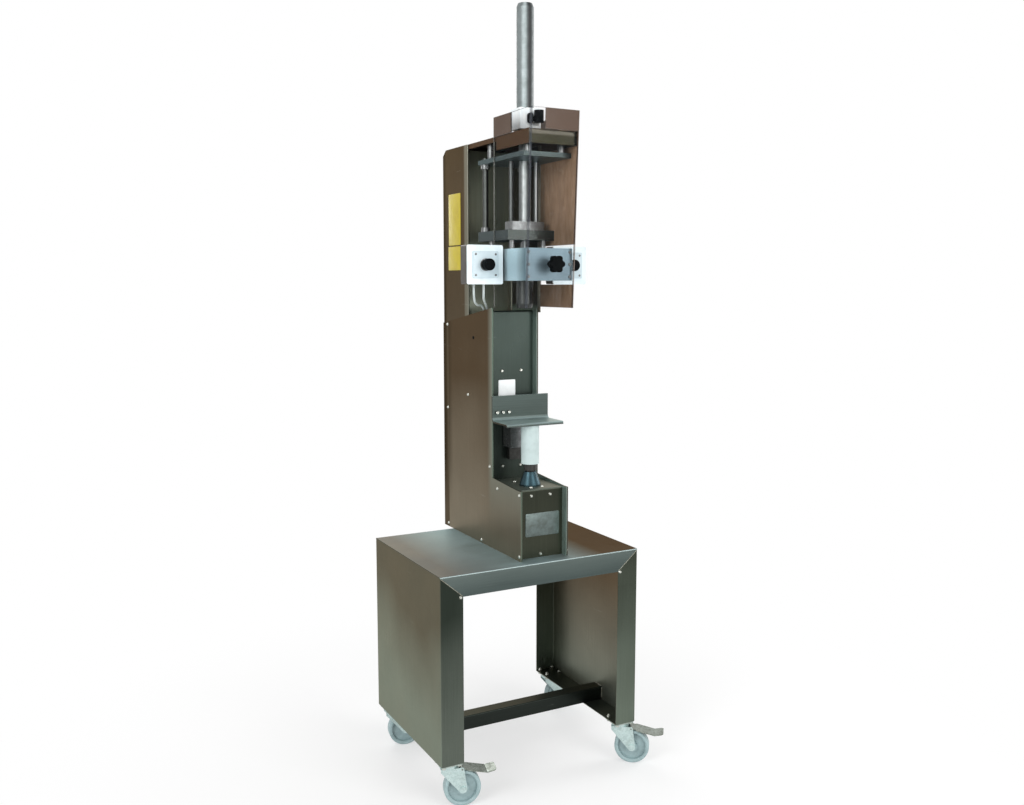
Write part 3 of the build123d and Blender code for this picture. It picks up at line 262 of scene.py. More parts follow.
def mouldedPlastic(name, ownLook):
    look = {**plasticPlain, **ownLook}
    finish, tree, shader, where = startFinish(name, 0.0, Specular_IOR_Level=look["shine"])
    place = where.outputs["Object"]
    grain = noise(tree, place, look["grain"], 2.0, 0.5)
    marks = noise(tree, place, look["marks"], 5.0, 0.65)
    skin = mixed(tree, spread(tree, marks, *look["markReach"]), tone(*look["colour"]), tone(*look["worn"]))
    if "body" in look:  # darker from the pale lid's back edge, at lid, backwards
        behind = spread(tree, axes(tree, place)["Y"], look["lid"], look["lid"] + look["lidSeam"])
        skin = mixed(tree, behind, skin, tone(*look["body"]))
    skin = shaded(tree, skin, sway(tree, grain, *look["grainShade"]))
    gloss = sway(tree, marks, *around(look["rough"], look["markGloss"]))
    endFinish(tree, shader, skin, gloss, grain, look["bump"], look["bumpDepth"])
    return finish


# Guard sheet: clear, with a bronze film on the right wall and over the rear and right of the part above the
# cap. A clear band beside the right control box leaves it in sight.
# The film's tone is partly painted light: painted shade darker towards the bottom, darker shaded copies on
# the front and the left above the cap, and painted shade on the folds.
guardLook = {
    "bronze": (150, 124, 102), "bronzeDark": (126, 102, 80), "bronzeFrontShade": (84, 67, 56),
    "bronzeLeftShade": (79, 61, 48), "bronzeFoldShade": (84, 66, 52), "shade": (1.3, 1.62, 0.66, 1.0),
    "clear": (70, 80, 86), "edge": (64, 48, 38), "foldShade": (62, 66, 72), "rim": (126, 128, 122),
    "capLevel": 1.7405, "middle": 0.02, "leftRear": -0.142, "frontRight": -0.009, "rearEdge": -0.0462,
    "rimWidth": 0.0006, "bandLow": 1.3525, "bandHigh": 1.4565, "levelSoft": 0.001, "filmSoft": 0.002,
    "wallTurn": (0.35, 0.8), "cutTurn": (0.5, 0.7), "foldStart": (0.12, 0.35), "foldEnd": (0.99, 0.9),
    "streakRun": (60, 60, 18), "streakReach": (0.35, 0.65), "haze": 14.0, "hazeCover": (0.45, 0.8, 0.0, 0.03),
    "hazeGloss": (0.35, 0.7, 0.12, 0.3), "filmAlpha": 0.985, "clearAlpha": 0.018, "foldAlpha": 0.42,
    "rimAlpha": 0.6, "ior": 1.49, "shine": 0.12,
}


def guardSheetFinish(name, look):
    finish, tree, shader, where = startFinish(name, 0.0, IOR=look["ior"], Specular_IOR_Level=look["shine"])
    place = where.outputs["Object"]
    along, facing = axes(tree, place), axes(tree, where.outputs["Normal"])
    sideways = calc(tree, "ABSOLUTE", facing["X"])
    wall = spread(tree, sideways, *look["wallTurn"])
    cut = spread(tree, calc(tree, "ABSOLUTE", facing["Z"]), *look["cutTurn"])
    fold = times(tree, spread(tree, sideways, *look["foldStart"]), spread(tree, sideways, *look["foldEnd"]))
    rim = spread(tree, along["Y"], look["rearEdge"], look["rearEdge"] + look["rimWidth"])
    right = calc(tree, "GREATER_THAN", along["X"], look["middle"])
    aboveCap = past(tree, along["Z"], look["capLevel"], look["levelSoft"])
    leftRear = past(tree, along["Y"], look["leftRear"], look["filmSoft"])
    frontRight = past(tree, along["X"], look["frontRight"], look["filmSoft"])
    aboveBand = past(tree, along["Z"], look["bandHigh"], look["levelSoft"])
    belowBand = past(tree, along["Z"], look["bandLow"], -look["levelSoft"])
    besideBand = calc(tree, "ADD", aboveBand, belowBand, clamp=True)
    rightFilm = times(tree, wall, right, besideBand)
    leftFilm = times(tree, wall, aboveCap, leftRear)
    frontFilm = times(tree, aboveCap, frontRight, calc(tree, "SUBTRACT", 1.0, wall))
    film = most(tree, rightFilm, leftFilm, frontFilm)

    streak = noise(tree, place, 1.0, 5.0, 0.7, look["streakRun"])
    streakShare = spread(tree, streak, *look["streakReach"])
    bronze = mixed(tree, streakShare, tone(*look["bronzeDark"]), tone(*look["bronze"]))
    bronze = shaded(tree, bronze, spread(tree, along["Z"], *look["shade"]))
    # darker copies of the film on the front and the left above the cap: painted shade
    for share, filmTone in ((frontFilm, "bronzeFrontShade"), (leftFilm, "bronzeLeftShade")):
        bronze = mixed(tree, share, bronze, tone(*look[filmTone]))
    skin = mixed(tree, film, tone(*look["clear"]), bronze)
    rightFold = times(tree, fold, right)
    for share, partTone in ((rim, "rim"), (fold, "foldShade"), (rightFold, "bronzeFoldShade"), (cut, "edge")):
        skin = mixed(tree, share, skin, tone(*look[partTone]))
    feed(tree, shader.inputs["Base Color"], skin)
    haze = noise(tree, place, look["haze"], 4.0, 0.6)
    cover = calc(tree, "ADD", spread(tree, film, 0, 1, look["clearAlpha"], look["filmAlpha"]),
                 spread(tree, haze, *look["hazeCover"]))
    closed = ((fold, "foldAlpha"), (rightFold, "filmAlpha"), (rim, "rimAlpha"), (cut, "filmAlpha"))
    for share, least in closed:
        cover = most(tree, cover, times(tree, share, look[least]))
    feed(tree, shader.inputs["Alpha"], cover)
    feed(tree, shader.inputs["Roughness"], spread(tree, haze, *look["hazeGloss"]))
    return finish


# Tones of the sheet pieces, painted light: each face's tone and its drift from low to high stand in for the
# light, shade and reflections on it
panelTones = {
    "sideHigh": (94, 93, 80), "sideLow": (126, 137, 125), "frontHigh": (42, 49, 43), "frontLow": (91, 98, 90),
    "top": (80, 86, 80), "low": 0.16, "high": 0.52,
}
rightPanelTones = dict(panelTones, frontHigh=(46, 50, 42), frontLow=(111, 122, 110), within=(124, 129, 118),
                       withinHigh=(97, 84, 67), withinRise=(0.16, 0.5))
# The stand's top: a painted reflection, pale in the middle and brown on the right, and a painted highlight on
# its rolled front edge
tableTones = {
    "sideHigh": (92, 96, 90), "sideLow": (92, 96, 90), "frontHigh": (95, 105, 102), "frontLow": (75, 85, 83),
    "top": (122, 123, 120), "topMiddleReflection": (154, 174, 176), "topRightReflection": (95, 84, 72),
    "middleRun": (-0.26, -0.08), "rightRun": (0.02, 0.19), "low": 0.565, "high": 0.623, "grain": "across",
    "rough": 0.5, "metal": 0.9, "shine": 0.06, "edgeTint": (0.36, 0.3, 0.23, 1.0), "bendHighlight": (160, 174, 174),
}
# Folds on the column's left side: a painted highlight at the front fold and painted shade at the rear edge
columnTones = {
    "sideHigh": (76, 64, 50), "sideLow": (126, 120, 106), "frontHigh": (75, 92, 82), "frontLow": (84, 96, 84),
    "top": (84, 82, 70), "low": 0.62, "high": 1.1, "drift": 0.22, "foldRise": (0.68, 0.84),
    "folds": (((0.225, 0.275), (34, 31, 22)), ((-0.004, -0.026), (118, 122, 112))),
}
columnRightTones = dict(columnTones, within=(172, 196, 188), withinHigh=(56, 54, 49), withinRise=(1.26, 1.30),
                        frontHigh=(58, 62, 56), frontLow=(58, 62, 56), folds=())
frontTones = {
    "sideHigh": (60, 66, 60), "sideLow": (60, 66, 60), "frontHigh": (57, 66, 62), "frontLow": (49, 56, 52),
    "top": (60, 66, 60), "low": 0.82, "high": 1.25, "drift": 0.25,
}
footTones = {
    "sideHigh": (86, 84, 73), "sideLow": (86, 84, 73), "frontHigh": (48, 51, 43), "frontLow": (60, 63, 53),
    "top": (122, 130, 122), "low": 0.63, "high": 0.8, "drift": 0.25,
}
# The enclosure's folds: painted shade at its rear edge and a painted highlight along its hem
enclosureTones = dict(columnTones, sideHigh=(60, 50, 36), sideLow=(80, 72, 60), frontHigh=(108, 108, 96),
                      frontLow=(96, 98, 88), low=1.25, high=1.74,
                      folds=(((0.258, 0.272), (40, 34, 24)), ((0.142, 0.134), (112, 112, 102))))
recessTones = dict(frontTones, frontHigh=(130, 136, 120), frontLow=(134, 140, 126), low=1.25, high=1.72)
# The cap's front: its top rim above low to high is a painted highlight, the rest painted shade
capTones = {
    "sideHigh": (70, 54, 44), "sideLow": (70, 54, 44), "frontHigh": (82, 79, 71), "frontLow": (40, 39, 28),
    "top": (96, 88, 76), "low": 1.7265, "high": 1.7315, "grain": "across",
}
plateTones = {
    "sideHigh": (63, 71, 70), "sideLow": (58, 60, 57), "frontHigh": (63, 71, 70), "frontLow": (62, 65, 62),
    "top": (100, 112, 114), "low": 1.45, "high": 1.7, "grain": "across", "rough": 0.34,
    "edgeTint": (0.7, 0.8, 0.84, 1.0),
}
# Painted light on the jaw housing: a pale lit left face, a darker front face that darkens towards its bottom
# as painted shade below the knob, and a left face darker towards its front
housingTones = {
    "sideHigh": (190, 214, 221), "sideLow": (182, 204, 212), "frontHigh": (107, 126, 135),
    "frontLow": (96, 112, 120), "top": (130, 145, 152), "low": 1.37, "high": 1.46, "grain": "across",
    "metal": 0.6, "edgeTint": (0.8, 0.85, 0.88, 1.0), "folds": (((-0.165, -0.214), (94, 118, 126)),),
}
shelfTones = {
    "sideHigh": (66, 66, 60), "sideLow": (66, 66, 60), "frontHigh": (72, 82, 79), "frontLow": (68, 76, 73),
    "top": (175, 198, 198), "low": 0.97, "high": 1.05, "grain": "across",
}
braceTones = {
    "sideHigh": (56, 60, 56), "sideLow": (56, 60, 56), "frontHigh": (41, 46, 43), "frontLow": (38, 43, 40),
    "top": (48, 55, 51), "low": 0.12, "high": 0.17, "grain": "across",
}

# Painted reflection bands round a polished tube or rod: (turn in degrees counted from -X, level)
reflectionBands = [(0.5, 170), (14, 187), (24, 182), (32, 170), (40, 180), (50, 230), (58, 255), (64, 250),
               (70, 206), (77, 134), (85, 82), (92, 58), (99, 70), (107, 92), (117, 138), (130, 172),
               (150, 170), (359.5, 160)]
polishedRod = {"rough": 0.38, "metal": 0.6, "lines": (12, 12, 900), "bands": reflectionBands}

# Every finish, by the function that makes it
finishLooks = {
    sheetSteel: {
        "panelSteel": panelTones,
        "rightPanelSteel": rightPanelTones,
        "tableSteel": tableTones,
        "braceSteel": braceTones,
        "columnSteel": columnTones,
        "columnRightSteel": columnRightTones,
        "columnFrontSteel": frontTones,
        "footSteel": footTones,
        "enclosureSteel": enclosureTones,
        "recessSteel": recessTones,
        "capSteel": capTones,
        "cagePlate": plateTones,
        "shelfSteel": shelfTones,
        "housingAluminium": housingTones,
    },
    machinedMetal: {
        "groundRod": dict(polishedRod, colour=(190, 196, 196), worn=(166, 171, 171), rough=0.36),
        "columnRod": dict(polishedRod, colour=(100, 105, 102), worn=(88, 92, 89)),
        # the right front rod is painted brighter than the left: painted light
        "frontRod": dict(polishedRod, colour=(112, 117, 116), worn=(98, 102, 101), right=(204, 208, 208)),
        "tubePolish": {"colour": (172, 183, 184), "worn": (152, 163, 163), "rough": 0.42, "metal": 0.4,
                       "lines": (12, 12, 700), "bands": reflectionBands},
        "turnedSteel": {"colour": (120, 122, 122), "worn": (96, 98, 98), "rough": 0.3},
        # a darker copy of turnedSteel: painted shade under the housing
        "shadedBellSteel": {"colour": (66, 68, 67), "worn": (54, 56, 55), "rough": 0.34},
        "darkSteel": {"colour": (64, 64, 62), "worn": (48, 48, 46), "rough": 0.42},
        "blueZinc": {"colour": (49, 70, 77), "worn": (39, 56, 61), "rough": 0.36},
        "paleAluminium": {"colour": (250, 255, 255), "worn": (238, 248, 252), "rough": 0.4, "metal": 0.0,
                          "lines": (500, 500, 20)},
        "screwSteel": {"colour": (212, 214, 206), "worn": (178, 180, 172), "rough": 0.22, "spots": 500.0},
        "greyPlate": {"colour": (100, 112, 110), "worn": (82, 90, 86), "rough": 0.36, "metal": 0.7,
                      "lines": (12, 700, 700)},
        "weldBead": {"colour": (140, 142, 132), "worn": (104, 98, 86), "rough": 0.34, "spots": 240.0},
        "guardStripSteel": {"colour": (132, 128, 118), "worn": (112, 106, 94), "rough": 0.4,
                            "lines": (700, 700, 12)},
    },
    zincPlating: {
        "zincFork": {"colour": (200, 218, 216), "fleck": (178, 198, 196), "dust": (150, 164, 158),
                     "rough": 0.3},
        "zincPlate": {"colour": (176, 188, 182), "fleck": (150, 160, 154), "dust": (120, 128, 120),
                      "rough": 0.32},
        "pedalZinc": {"colour": (150, 158, 150), "fleck": (116, 122, 112), "dust": (84, 84, 74),
                      "rough": 0.28},
    },
    mouldedPlastic: {
        "wheelNylon": {"colour": (150, 172, 174), "worn": (128, 149, 151), "rough": 0.42, "marks": 40.0},
        "boxPlastic": {"colour": (224, 236, 240), "worn": (208, 222, 228), "rough": 0.4, "body": (48, 42, 34),
                       "lid": -0.1015},
        "coverPlastic": {"colour": (196, 212, 218), "worn": (180, 198, 205), "rough": 0.4},
        "blackPlastic": {"colour": (8, 10, 12), "worn": (18, 21, 24), "rough": 0.5, "shine": 0.03},
        "knobPlastic": {"colour": (6, 8, 9), "worn": (15, 18, 19), "rough": 0.5, "shine": 0.03},
        "sleevePlastic": {"colour": (181, 197, 196), "worn": (164, 180, 179), "rough": 0.36},
        "airTube": {"colour": (198, 208, 206), "worn": (168, 180, 178), "rough": 0.26},
        "yellowPlate": {"colour": (184, 167, 30), "worn": (170, 150, 40), "rough": 0.38, "marks": 18.0},
        "whitePlate": {"colour": (244, 248, 248), "worn": (228, 234, 234), "rough": 0.4},
    },
    guardSheetFinish: {"guardSheet": guardLook},
}
finishes = {}
for makeFinish, looks in finishLooks.items():
    for finishName, look in looks.items():
        finishes[finishName] = makeFinish(finishName, look)
print("finishes made:", len(finishes))

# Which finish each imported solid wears
wearing = {
    "tableSteel": ["stand_top"],
    "panelSteel": ["side_panel_left"],
    "rightPanelSteel": ["side_panel_right"],
    "braceSteel": ["cross_brace"],
    "zincPlate": ["caster_plates"],
    "zincFork": ["fork_front_left", "fork_front_right", "fork_back_left", "fork_back_right"],
    "wheelNylon": ["wheel_front_left", "wheel_front_right", "wheel_back_left", "wheel_back_right"],
    "pedalZinc": ["pedal_front_left", "pedal_front_right"],
    "columnSteel": ["column_side_left"],
    "columnRightSteel": ["column_side_right"],
    "columnFrontSteel": ["column_front"],
    "footSteel": ["foot_cover"],
    "screwSteel": ["body_screws"],
    "darkSteel": ["guide_rail", "lift_rod", "cylinder_spacer", "box_brackets", "lift_body"],
    "turnedSteel": ["crosshead", "column_collars", "carriage", "head_posts"],
    "shadedBellSteel": ["centring_bell"],
    "blueZinc": ["lift_cone"],
    "enclosureSteel": ["upper_cover", "column_rear_cover"],
    "recessSteel": ["upper_front_plate"],
    "capSteel": ["head_cap"],
    "cagePlate": ["upper_plate", "lower_plate"],
    "shelfSteel": ["platform"],
    "groundRod": ["plunger_rod", "plunger_pin"],
    "columnRod": ["rear_columns"],
    "frontRod": ["front_rods"],
    "tubePolish": ["cylinder_tube", "cylinder_end_cap"],
    "paleAluminium": ["cylinder_block"],
    "housingAluminium": ["jaw_housing"],
    "blackPlastic": ["block_plug", "elbow_fitting", "button_left", "button_right"],
    "knobPlastic": ["knob"],
    "boxPlastic": ["control_box_left", "control_box_right"],
    "coverPlastic": ["box_cover_left", "box_cover_right"],
    "sleevePlastic": ["lift_sleeve"],
    "airTube": ["air_tube_outer", "air_tube_inner"],
    "guardSheet": ["guard"],
}
for finishName, wearers in wearing.items():
    for nodeName in wearers:
        for materialSlot in nodes[nodeName].material_slots:
            materialSlot.material = finishes[finishName]
bare = sorted(set(nodes) - {nodeName for wearers in wearing.values() for nodeName in wearers})
print("solids dressed:", len(nodes) - len(bare), "left bare:", bare)

# Ways that a screw or a plate looks, and the way across a plate on the front or on the left
toFront, toLeft, toTop, toFloor = (0, -1, 0), (-1, 0, 0), (0, 0, 1), (0, 0, -1)
acrossFront, acrossLeft = (1, 0, 0), (0, -1, 0)
signs = (-1, 1)
signPairs = [(first, second) for first in signs for second in signs]


# Helpers for small meshes
def turnTo(direction):
    return Vector(direction).to_track_quat("Z", "Y").to_matrix().to_4x4()


def ringPoints(radius, sides, height=0.0):
    turns = [2 * math.pi * step / sides for step in range(sides)]
    return [Vector((radius * math.cos(turn), radius * math.sin(turn), height)) for turn in turns]


# A turned shape: (radius, height) pairs from the middle outwards, on a seat and along a direction
def latheInto(mesh, seat, direction, profile, sides=24):
    place = Matrix.Translation(Vector(seat)) @ turnTo(direction)
    rings = []
    for radius, height in profile:
        if radius == 0:
            rings.append([mesh.verts.new(place @ Vector((0, 0, height)))])
            continue
        rings.append([mesh.verts.new(place @ point) for point in ringPoints(radius, sides, height)])
    for inner, outer in zip(rings, rings[1:]):
        for step in range(sides):
            after = (step + 1) % sides
            if len(inner) == 1:
                mesh.faces.new((inner[0], outer[step], outer[after]))
            else:
                mesh.faces.new((inner[step], outer[step], outer[after], inner[after]))
    if len(rings[-1]) > 1:
        mesh.faces.new(rings[-1][::-1])


# Dome screws with a socket, one on each seat
def screwsInto(mesh, seats, direction, look, socket=0.38):
    radius, height = look["radius"], look["height"]
    deep = height * 0.45
    profile = [(0, deep), (radius * socket, deep), (radius * socket, height * 0.97), (radius * 0.6, height),
               (radius * 0.86, height * 0.72), (radius, height * 0.3), (radius, 0)]
    for seat in seats:
        latheInto(mesh, seat, direction, profile, look["sides"])


def boltInto(mesh, seat, direction, across, height):
    radius = across / math.sqrt(3)
    profile = [(0, height), (radius * 0.86, height), (radius, height * 0.86), (radius, 0)]
    latheInto(mesh, seat, direction, profile, 6)


# A flat plate with round corners and a soft edge. centre lies on its seat
def plateInto(mesh, centre, across, upward, width, height, thick, corner, soft, cornerSteps=6):
    across, upward = Vector(across), Vector(upward)
    outward = across.cross(upward)

    def outline(inset, lift):
        points = []
        cornerRadius = max(corner - inset, 0.0002)
        for quarter in range(4):
            cornerX = (width / 2 - corner) * (1 if quarter in (0, 3) else -1)
            cornerY = (height / 2 - corner) * (1 if quarter in (0, 1) else -1)
            for step in range(cornerSteps + 1):
                angle = math.pi / 2 * (quarter + step / cornerSteps)
                sideways = across * (cornerX + cornerRadius * math.cos(angle))
                upwards = upward * (cornerY + cornerRadius * math.sin(angle))
                points.append(mesh.verts.new(Vector(centre) + sideways + upwards + outward * lift))
        return points

    steps = ((0, 0), (0, thick - soft), (soft * 0.3, thick - soft * 0.3), (soft, thick))
    layers = [outline(inset, lift) for inset, lift in steps]
    for low, high in zip(layers, layers[1:]):
        for step in range(len(low)):
            after = (step + 1) % len(low)
            mesh.faces.new((low[step], low[after], high[after], high[step]))
    mesh.faces.new(layers[-1])
    mesh.faces.new(layers[0][::-1])


# A plate on an upright wall, from its look's span along the wall and its levels
def wallPlateInto(mesh, look, wall, across):
    middle, level = sum(look["span"]) / 2, sum(look["z"]) / 2
    centre = Vector((middle, wall, level) if across == acrossFront else (wall, middle, level))
    width, height = look["span"][1] - look["span"][0], look["z"][1] - look["z"][0]
    plateInto(mesh, centre, across, toTop, width, height, look["thick"], look["corner"], look["soft"])
    return centre, width, height


# A weld bead with ripples, half sunk along a seam
def beadInto(mesh, start, end, radius, ripple=0.0022, sides=10):
    start, end = Vector(start), Vector(end)
    run = end - start
    count = max(int(run.length / ripple) * 4, 8)
    place = turnTo(run)
    rings = []
    for step in range(count + 1):
        share = step / count
        swell = 0.82 + 0.18 * abs(math.sin(math.pi * share * run.length / ripple))
        closing = math.sqrt(max(1 - (2 * share - 1) ** 18, 0.02))
        centre = start + run * share
        ring = ringPoints(radius * swell * closing, sides)
        rings.append([mesh.verts.new(centre + place @ point) for point in ring])
    for low, high in zip(rings, rings[1:]):
        for step in range(sides):
            after = (step + 1) % sides
            mesh.faces.new((low[step], low[after], high[after], high[step]))
    mesh.faces.new(rings[0][::-1])
    mesh.faces.new(rings[-1])


def makePiece(name, mesh, finishName, body, smooth=40):
    bmesh.ops.recalc_face_normals(mesh, faces=mesh.faces)
    data = bpy.data.meshes.new(name)
    mesh.to_mesh(data)
    mesh.free()
    piece = bpy.data.objects.new(name, data)
    bpy.context.scene.collection.objects.link(piece)
    data.materials.append(finishes[finishName])
    data.polygons.foreach_set("use_smooth", [True] * len(data.polygons))
    data.set_sharp_from_angle(angle=math.radians(smooth))
    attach(piece, body)


# Bare plates, in place of printed ones
footPlateLook = {
    "span": (-0.027, 0.077), "z": (0.682, 0.745), "thick": 0.0012, "corner": 0.004, "soft": 0.0005,
    "rivetInset": 0.006, "rivet": [(0, 0.0012), (0.0022 * 0.6, 0.001), (0.0022, 0.0003), (0.0022, -0.0003)],
}
columnPadLook = {"span": (-0.022, 0.031), "z": (1.045, 1.090), "thick": 0.0022, "corner": 0.003,
                 "soft": 0.0008}
yellowLooks = {
    "yellowHighPlate": {"span": (0.163, 0.243), "z": (1.4655, 1.612), "thick": 0.0008, "corner": 0.003,
                        "soft": 0.0003},
    "yellowLowPlate": {"span": (0.164, 0.246), "z": (1.394, 1.462), "thick": 0.0008, "corner": 0.003,
                       "soft": 0.0003},
}

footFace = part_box("foot_cover")[0].y
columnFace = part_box("column_front")[0].y
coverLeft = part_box("upper_cover")[0].x

mesh = bmesh.new()
centre, width, height = wallPlateInto(mesh, footPlateLook, footFace, acrossFront)
rivetX, rivetZ = width / 2 - footPlateLook["rivetInset"], height / 2 - footPlateLook["rivetInset"]
for signX, signZ in signPairs:
    seat = centre + Vector((signX * rivetX, -footPlateLook["thick"], signZ * rivetZ))
    latheInto(mesh, seat, toFront, footPlateLook["rivet"], 16)
makePiece("footPlate", mesh, "greyPlate", "machine")

mesh = bmesh.new()
wallPlateInto(mesh, columnPadLook, columnFace, acrossFront)
makePiece("columnPad", mesh, "whitePlate", "machine")

for name, look in yellowLooks.items():
    mesh = bmesh.new()
    wallPlateInto(mesh, look, coverLeft, acrossLeft)
    makePiece(name, mesh, "yellowPlate", "machine")
print("bare plates made")

# Caster bolts: the head under the caster's plate, the nut and the bolt's end on the panel's flange
boltLook = {
    "casterInset": 0.03, "offset": 0.022, "across": 0.010, "head": 0.0055, "nut": 0.0065, "plate": 0.003,
    "flange": 0.002, "end": [(0, 0.003), (0.0022, 0.003), (0.003, 0.0022), (0.003, 0)],
}
plateLow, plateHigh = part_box("caster_plates")
inset, across = boltLook["casterInset"], boltLook["across"]
under, above = plateHigh.z - boltLook["plate"], plateHigh.z + boltLook["flange"]
casterCentres = [(x, y) for x in (plateLow.x + inset, plateHigh.x - inset)
                 for y in (plateLow.y + inset, plateHigh.y - inset)]
mesh = bmesh.new()
for x, y in casterCentres:
    for signX, signY in signPairs:
        boltX, boltY = x + signX * boltLook["offset"], y + signY * boltLook["offset"]
        boltInto(mesh, (boltX, boltY, under), toFloor, across, boltLook["head"])
        boltInto(mesh, (boltX, boltY, above), toTop, across, boltLook["nut"])
        latheInto(mesh, (boltX, boltY, above + boltLook["nut"]), toTop, boltLook["end"], 16)
makePiece("casterBolts", mesh, "screwSteel", "machine", 30)

housingScrewLook = {"insetX": 0.009, "insetZ": 0.010, "radius": 0.0042, "height": 0.0026, "sides": 20}
housingLow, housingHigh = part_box("jaw_housing")
mesh = bmesh.new()
columns = (housingLow.x + housingScrewLook["insetX"], housingHigh.x - housingScrewLook["insetX"])
levels = (housingLow.z + housingScrewLook["insetZ"], (housingLow.z + housingHigh.z) / 2,
          housingHigh.z - housingScrewLook["insetZ"])
screwsInto(mesh, [(x, housingLow.y, z) for x in columns for z in levels], toFront, housingScrewLook)
makePiece("housingScrews", mesh, "turnedSteel", "machine", 30)

# Screws of the control boxes' covers, and the ring round each button
coverScrewLook = {"inset": 0.008, "radius": 0.0031, "height": 0.0011, "sides": 18}
ringProfile = [(0.0112, -0.0004), (0.0112, 0.0007), (0.0156, 0.0007), (0.0164, 0.0003), (0.0164, -0.0004)]
for side in ("left", "right"):
    coverLow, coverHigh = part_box("box_cover_" + side)
    inset = coverScrewLook["inset"]
    mesh = bmesh.new()
    seats = [(x, coverLow.y, z) for x in (coverLow.x + inset, coverHigh.x - inset)
             for z in (coverLow.z + inset, coverHigh.z - inset)]
    screwsInto(mesh, seats, toFront, coverScrewLook)
    makePiece("coverScrews_" + side, mesh, "turnedSteel", "machine", 30)
    boxLow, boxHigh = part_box("control_box_" + side)
    mesh = bmesh.new()
    middle = Vector(((boxLow.x + boxHigh.x) / 2, coverLow.y, (boxLow.z + boxHigh.z) / 2))
    latheInto(mesh, middle, toFront, ringProfile, 40)
    makePiece("buttonRing_" + side, mesh, "turnedSteel", "machine", 30)

platformScrewLook = {
    "first": 0.014, "apart": 0.018, "count": 3, "face": -0.065, "below": 0.045, "radius": 0.0045,
    "height": 0.0028, "sides": 20,
}
shelfLow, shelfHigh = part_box("platform")
mesh = bmesh.new()
level = shelfHigh.z - platformScrewLook["below"]
firstX = shelfLow.x + platformScrewLook["first"]
seats = [(firstX + platformScrewLook["apart"] * step, platformScrewLook["face"], level)
         for step in range(platformScrewLook["count"])]
screwsInto(mesh, seats, toFront, platformScrewLook)
makePiece("platformScrews", mesh, "screwSteel", "platform", 30)

# A fixing strip that closes the gap between the guard's right wall and the wall behind it
stripLook = {
    "span": (-0.0445, -0.0285), "z": (1.2765, 1.7370), "thick": 0.002, "corner": 0.002, "soft": 0.0005,
    "sunk": 0.0005, "screws": 5, "radius": 0.0032, "height": 0.0014, "sides": 18,
}
mesh = bmesh.new()
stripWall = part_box("column_side_right")[1].x - stripLook["sunk"]
centre, width, height = wallPlateInto(mesh, stripLook, stripWall, acrossLeft)
shares = [(step + 0.5) / stripLook["screws"] for step in range(stripLook["screws"])]
seats = [(centre.x - stripLook["thick"], centre.y, stripLook["z"][0] + height * share) for share in shares]
screwsInto(mesh, seats, toLeft, stripLook)
makePiece("guardStrip", mesh, "guardStripSteel", "machine", 30)

plugLook = {
    "y": 0.084, "z": 1.204, "profile": [(0, 0.0016), (0.003, 0.0014), (0.0045, 0.0006), (0.0045, -0.0002)],
}
mesh = bmesh.new()
seat = (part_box("column_side_left")[0].x, plugLook["y"], plugLook["z"])
latheInto(mesh, seat, toLeft, plugLook["profile"], 20)
makePiece("columnPlug", mesh, "blackPlastic", "machine", 30)
print("fasteners made")

# Weld beads at the stand's mitres and round the brace's ends
mitreLook = {"flange": 0.064, "outside": 0.001, "sunk": 0.0006, "below": 0.0035, "radius": 0.0013}
braceWeldLook = {"sunk": 0.0004, "endY": 0.003, "endZ": 0.004, "radius": 0.0022}
tableLow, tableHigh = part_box("stand_top")
braceLow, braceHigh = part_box("cross_brace")
sunk, endY, endZ = braceWeldLook["sunk"], braceWeldLook["endY"], braceWeldLook["endZ"]
mesh = bmesh.new()
for signX in signs:
    for signY in signs:
        y = signY * (tableHigh.y - mitreLook["sunk"])
        corner = (signX * (tableHigh.x - mitreLook["outside"]), y, tableHigh.z - mitreLook["below"])
        inner = (signX * (tableHigh.x - mitreLook["flange"]), y, tableLow.z + mitreLook["sunk"])
        beadInto(mesh, corner, inner, mitreLook["radius"])
    x = signX * (braceHigh.x - sunk)
    for z in (braceLow.z + sunk, braceHigh.z - sunk):
        beadInto(mesh, (x, braceLow.y + endY, z), (x, braceHigh.y - endY, z), braceWeldLook["radius"])
    for y in (braceLow.y + sunk, braceHigh.y - sunk):
        beadInto(mesh, (x, y, braceLow.z + endZ), (x, y, braceHigh.z - endZ), braceWeldLook["radius"])
makePiece("standWelds", mesh, "weldBead", "machine", 60)
print("weld beads made")

# Floor, backdrop, lamps and camera
studio = {
    "white": 1.0, "worldFill": 0.62, "floorColour": (238, 238, 238), "floorRadius": 7.0, "shadowShare": 0.5,
    "shadowReach": (0.55, 1.5),
}
whiteLight = {"Color": (1.0, 1.0, 1.0, 1.0), "Strength": studio["white"]}


def seenDirectly(tree):  # 1 for the camera, a mirror or a clear sheet, 0 for the light on the object
    rays = put(tree, "ShaderNodeLightPath").outputs
    return most(tree, rays["Is Camera Ray"], rays["Is Glossy Ray"], rays["Is Transmission Ray"])


world = bpy.data.worlds.new("paleStudio")
bpy.context.scene.world = world
world.use_nodes = True
tree = world.node_tree
tree.nodes.clear()
fill = put(tree, "ShaderNodeBackground", dict(whiteLight, Strength=studio["worldFill"]))
shown = put(tree, "ShaderNodeBackground", whiteLight)
both = put(tree, "ShaderNodeMixShader", {0: seenDirectly(tree), 1: fill.outputs[0], 2: shown.outputs[0]})
put(tree, "ShaderNodeOutputWorld", {"Surface": both.outputs[0]})

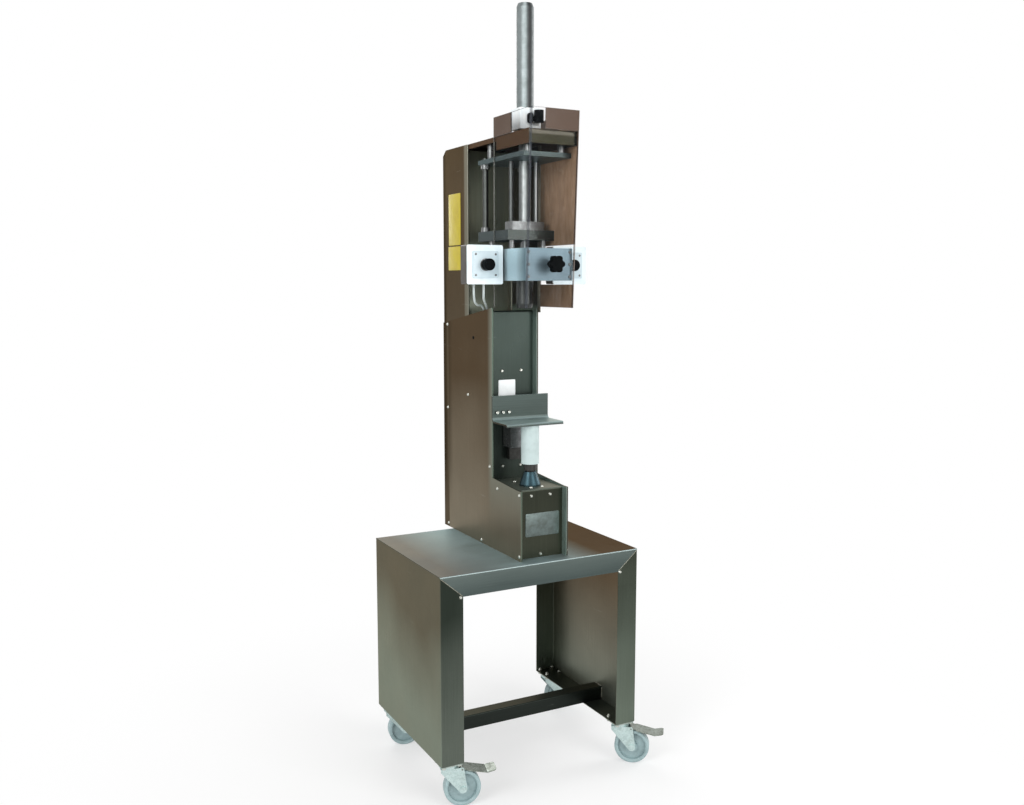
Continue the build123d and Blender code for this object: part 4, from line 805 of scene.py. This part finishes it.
floorFinish = bpy.data.materials.new("paleFloor")
floorFinish.use_nodes = True
tree = floorFinish.node_tree
tree.nodes.clear()
where = put(tree, "ShaderNodeTexCoord")
distance = put(tree, "ShaderNodeVectorMath", {0: where.outputs["Object"]}, operation="LENGTH")
away = distance.outputs["Value"]
share = spread(tree, away, *studio["shadowReach"], studio["shadowShare"], 0.0, smooth=True)
matt = put(tree, "ShaderNodeBsdfDiffuse", {"Color": tone(*studio["floorColour"])})
bright = put(tree, "ShaderNodeEmission", whiteLight)
shown = put(tree, "ShaderNodeMixShader", {0: share, 1: bright.outputs[0], 2: matt.outputs[0]})
both = put(tree, "ShaderNodeMixShader", {0: seenDirectly(tree), 1: matt.outputs[0], 2: shown.outputs[0]})
put(tree, "ShaderNodeOutputMaterial", {"Surface": both.outputs[0]})

mesh = bmesh.new()
bmesh.ops.create_circle(mesh, cap_ends=True, radius=studio["floorRadius"], segments=96)
data = bpy.data.meshes.new("floor")
mesh.to_mesh(data)
mesh.free()
floor = bpy.data.objects.new("floor", data)
bpy.context.scene.collection.objects.link(floor)
data.materials.append(floorFinish)

lamps = {
    "softLeft": {"at": (-2.9, -1.5, 2.3), "size": (1.6, 2.2), "power": 62},
    "softFront": {"at": (0.9, -3.4, 1.9), "size": (2.0, 2.0), "power": 58},
    "softRight": {"at": (3.0, -0.3, 1.8), "size": (1.2, 2.0), "power": 34},
    "softBack": {"at": (0.2, 3.2, 2.4), "size": (2.2, 1.6), "power": 40},
}
aim = Vector((0.0, 0.0, 1.0))
for lampName, lamp in lamps.items():
    light = bpy.data.lights.new(lampName, "AREA")
    light.shape = "RECTANGLE"
    light.size, light.size_y = lamp["size"]
    light.energy = lamp["power"]
    holder = bpy.data.objects.new(lampName, light)
    holder.location = lamp["at"]
    holder.rotation_euler = (aim - holder.location).to_track_quat("-Z", "Y").to_euler()
    bpy.context.scene.collection.objects.link(holder)

# The camera stands where the photo was taken from
cameraLook = {
    "at": (-1.290, -2.464, 1.353), "turn": 28.11, "down": 6.72, "lens": 35.21, "sensor": 36.0, "far": 50.0,
}
cameraData = bpy.data.cameras.new("photoCamera")
cameraData.sensor_width = cameraLook["sensor"]
cameraData.lens = cameraLook["lens"]
cameraData.clip_end = cameraLook["far"]
photoCamera = bpy.data.objects.new("photoCamera", cameraData)
photoCamera.location = cameraLook["at"]
photoCamera.rotation_euler = (math.radians(90 - cameraLook["down"]), 0.0, math.radians(-cameraLook["turn"]))
bpy.context.scene.collection.objects.link(photoCamera)
bpy.context.scene.camera = photoCamera
bpy.context.scene.view_settings.view_transform = "Standard"
print("stage, lamps and camera placed")
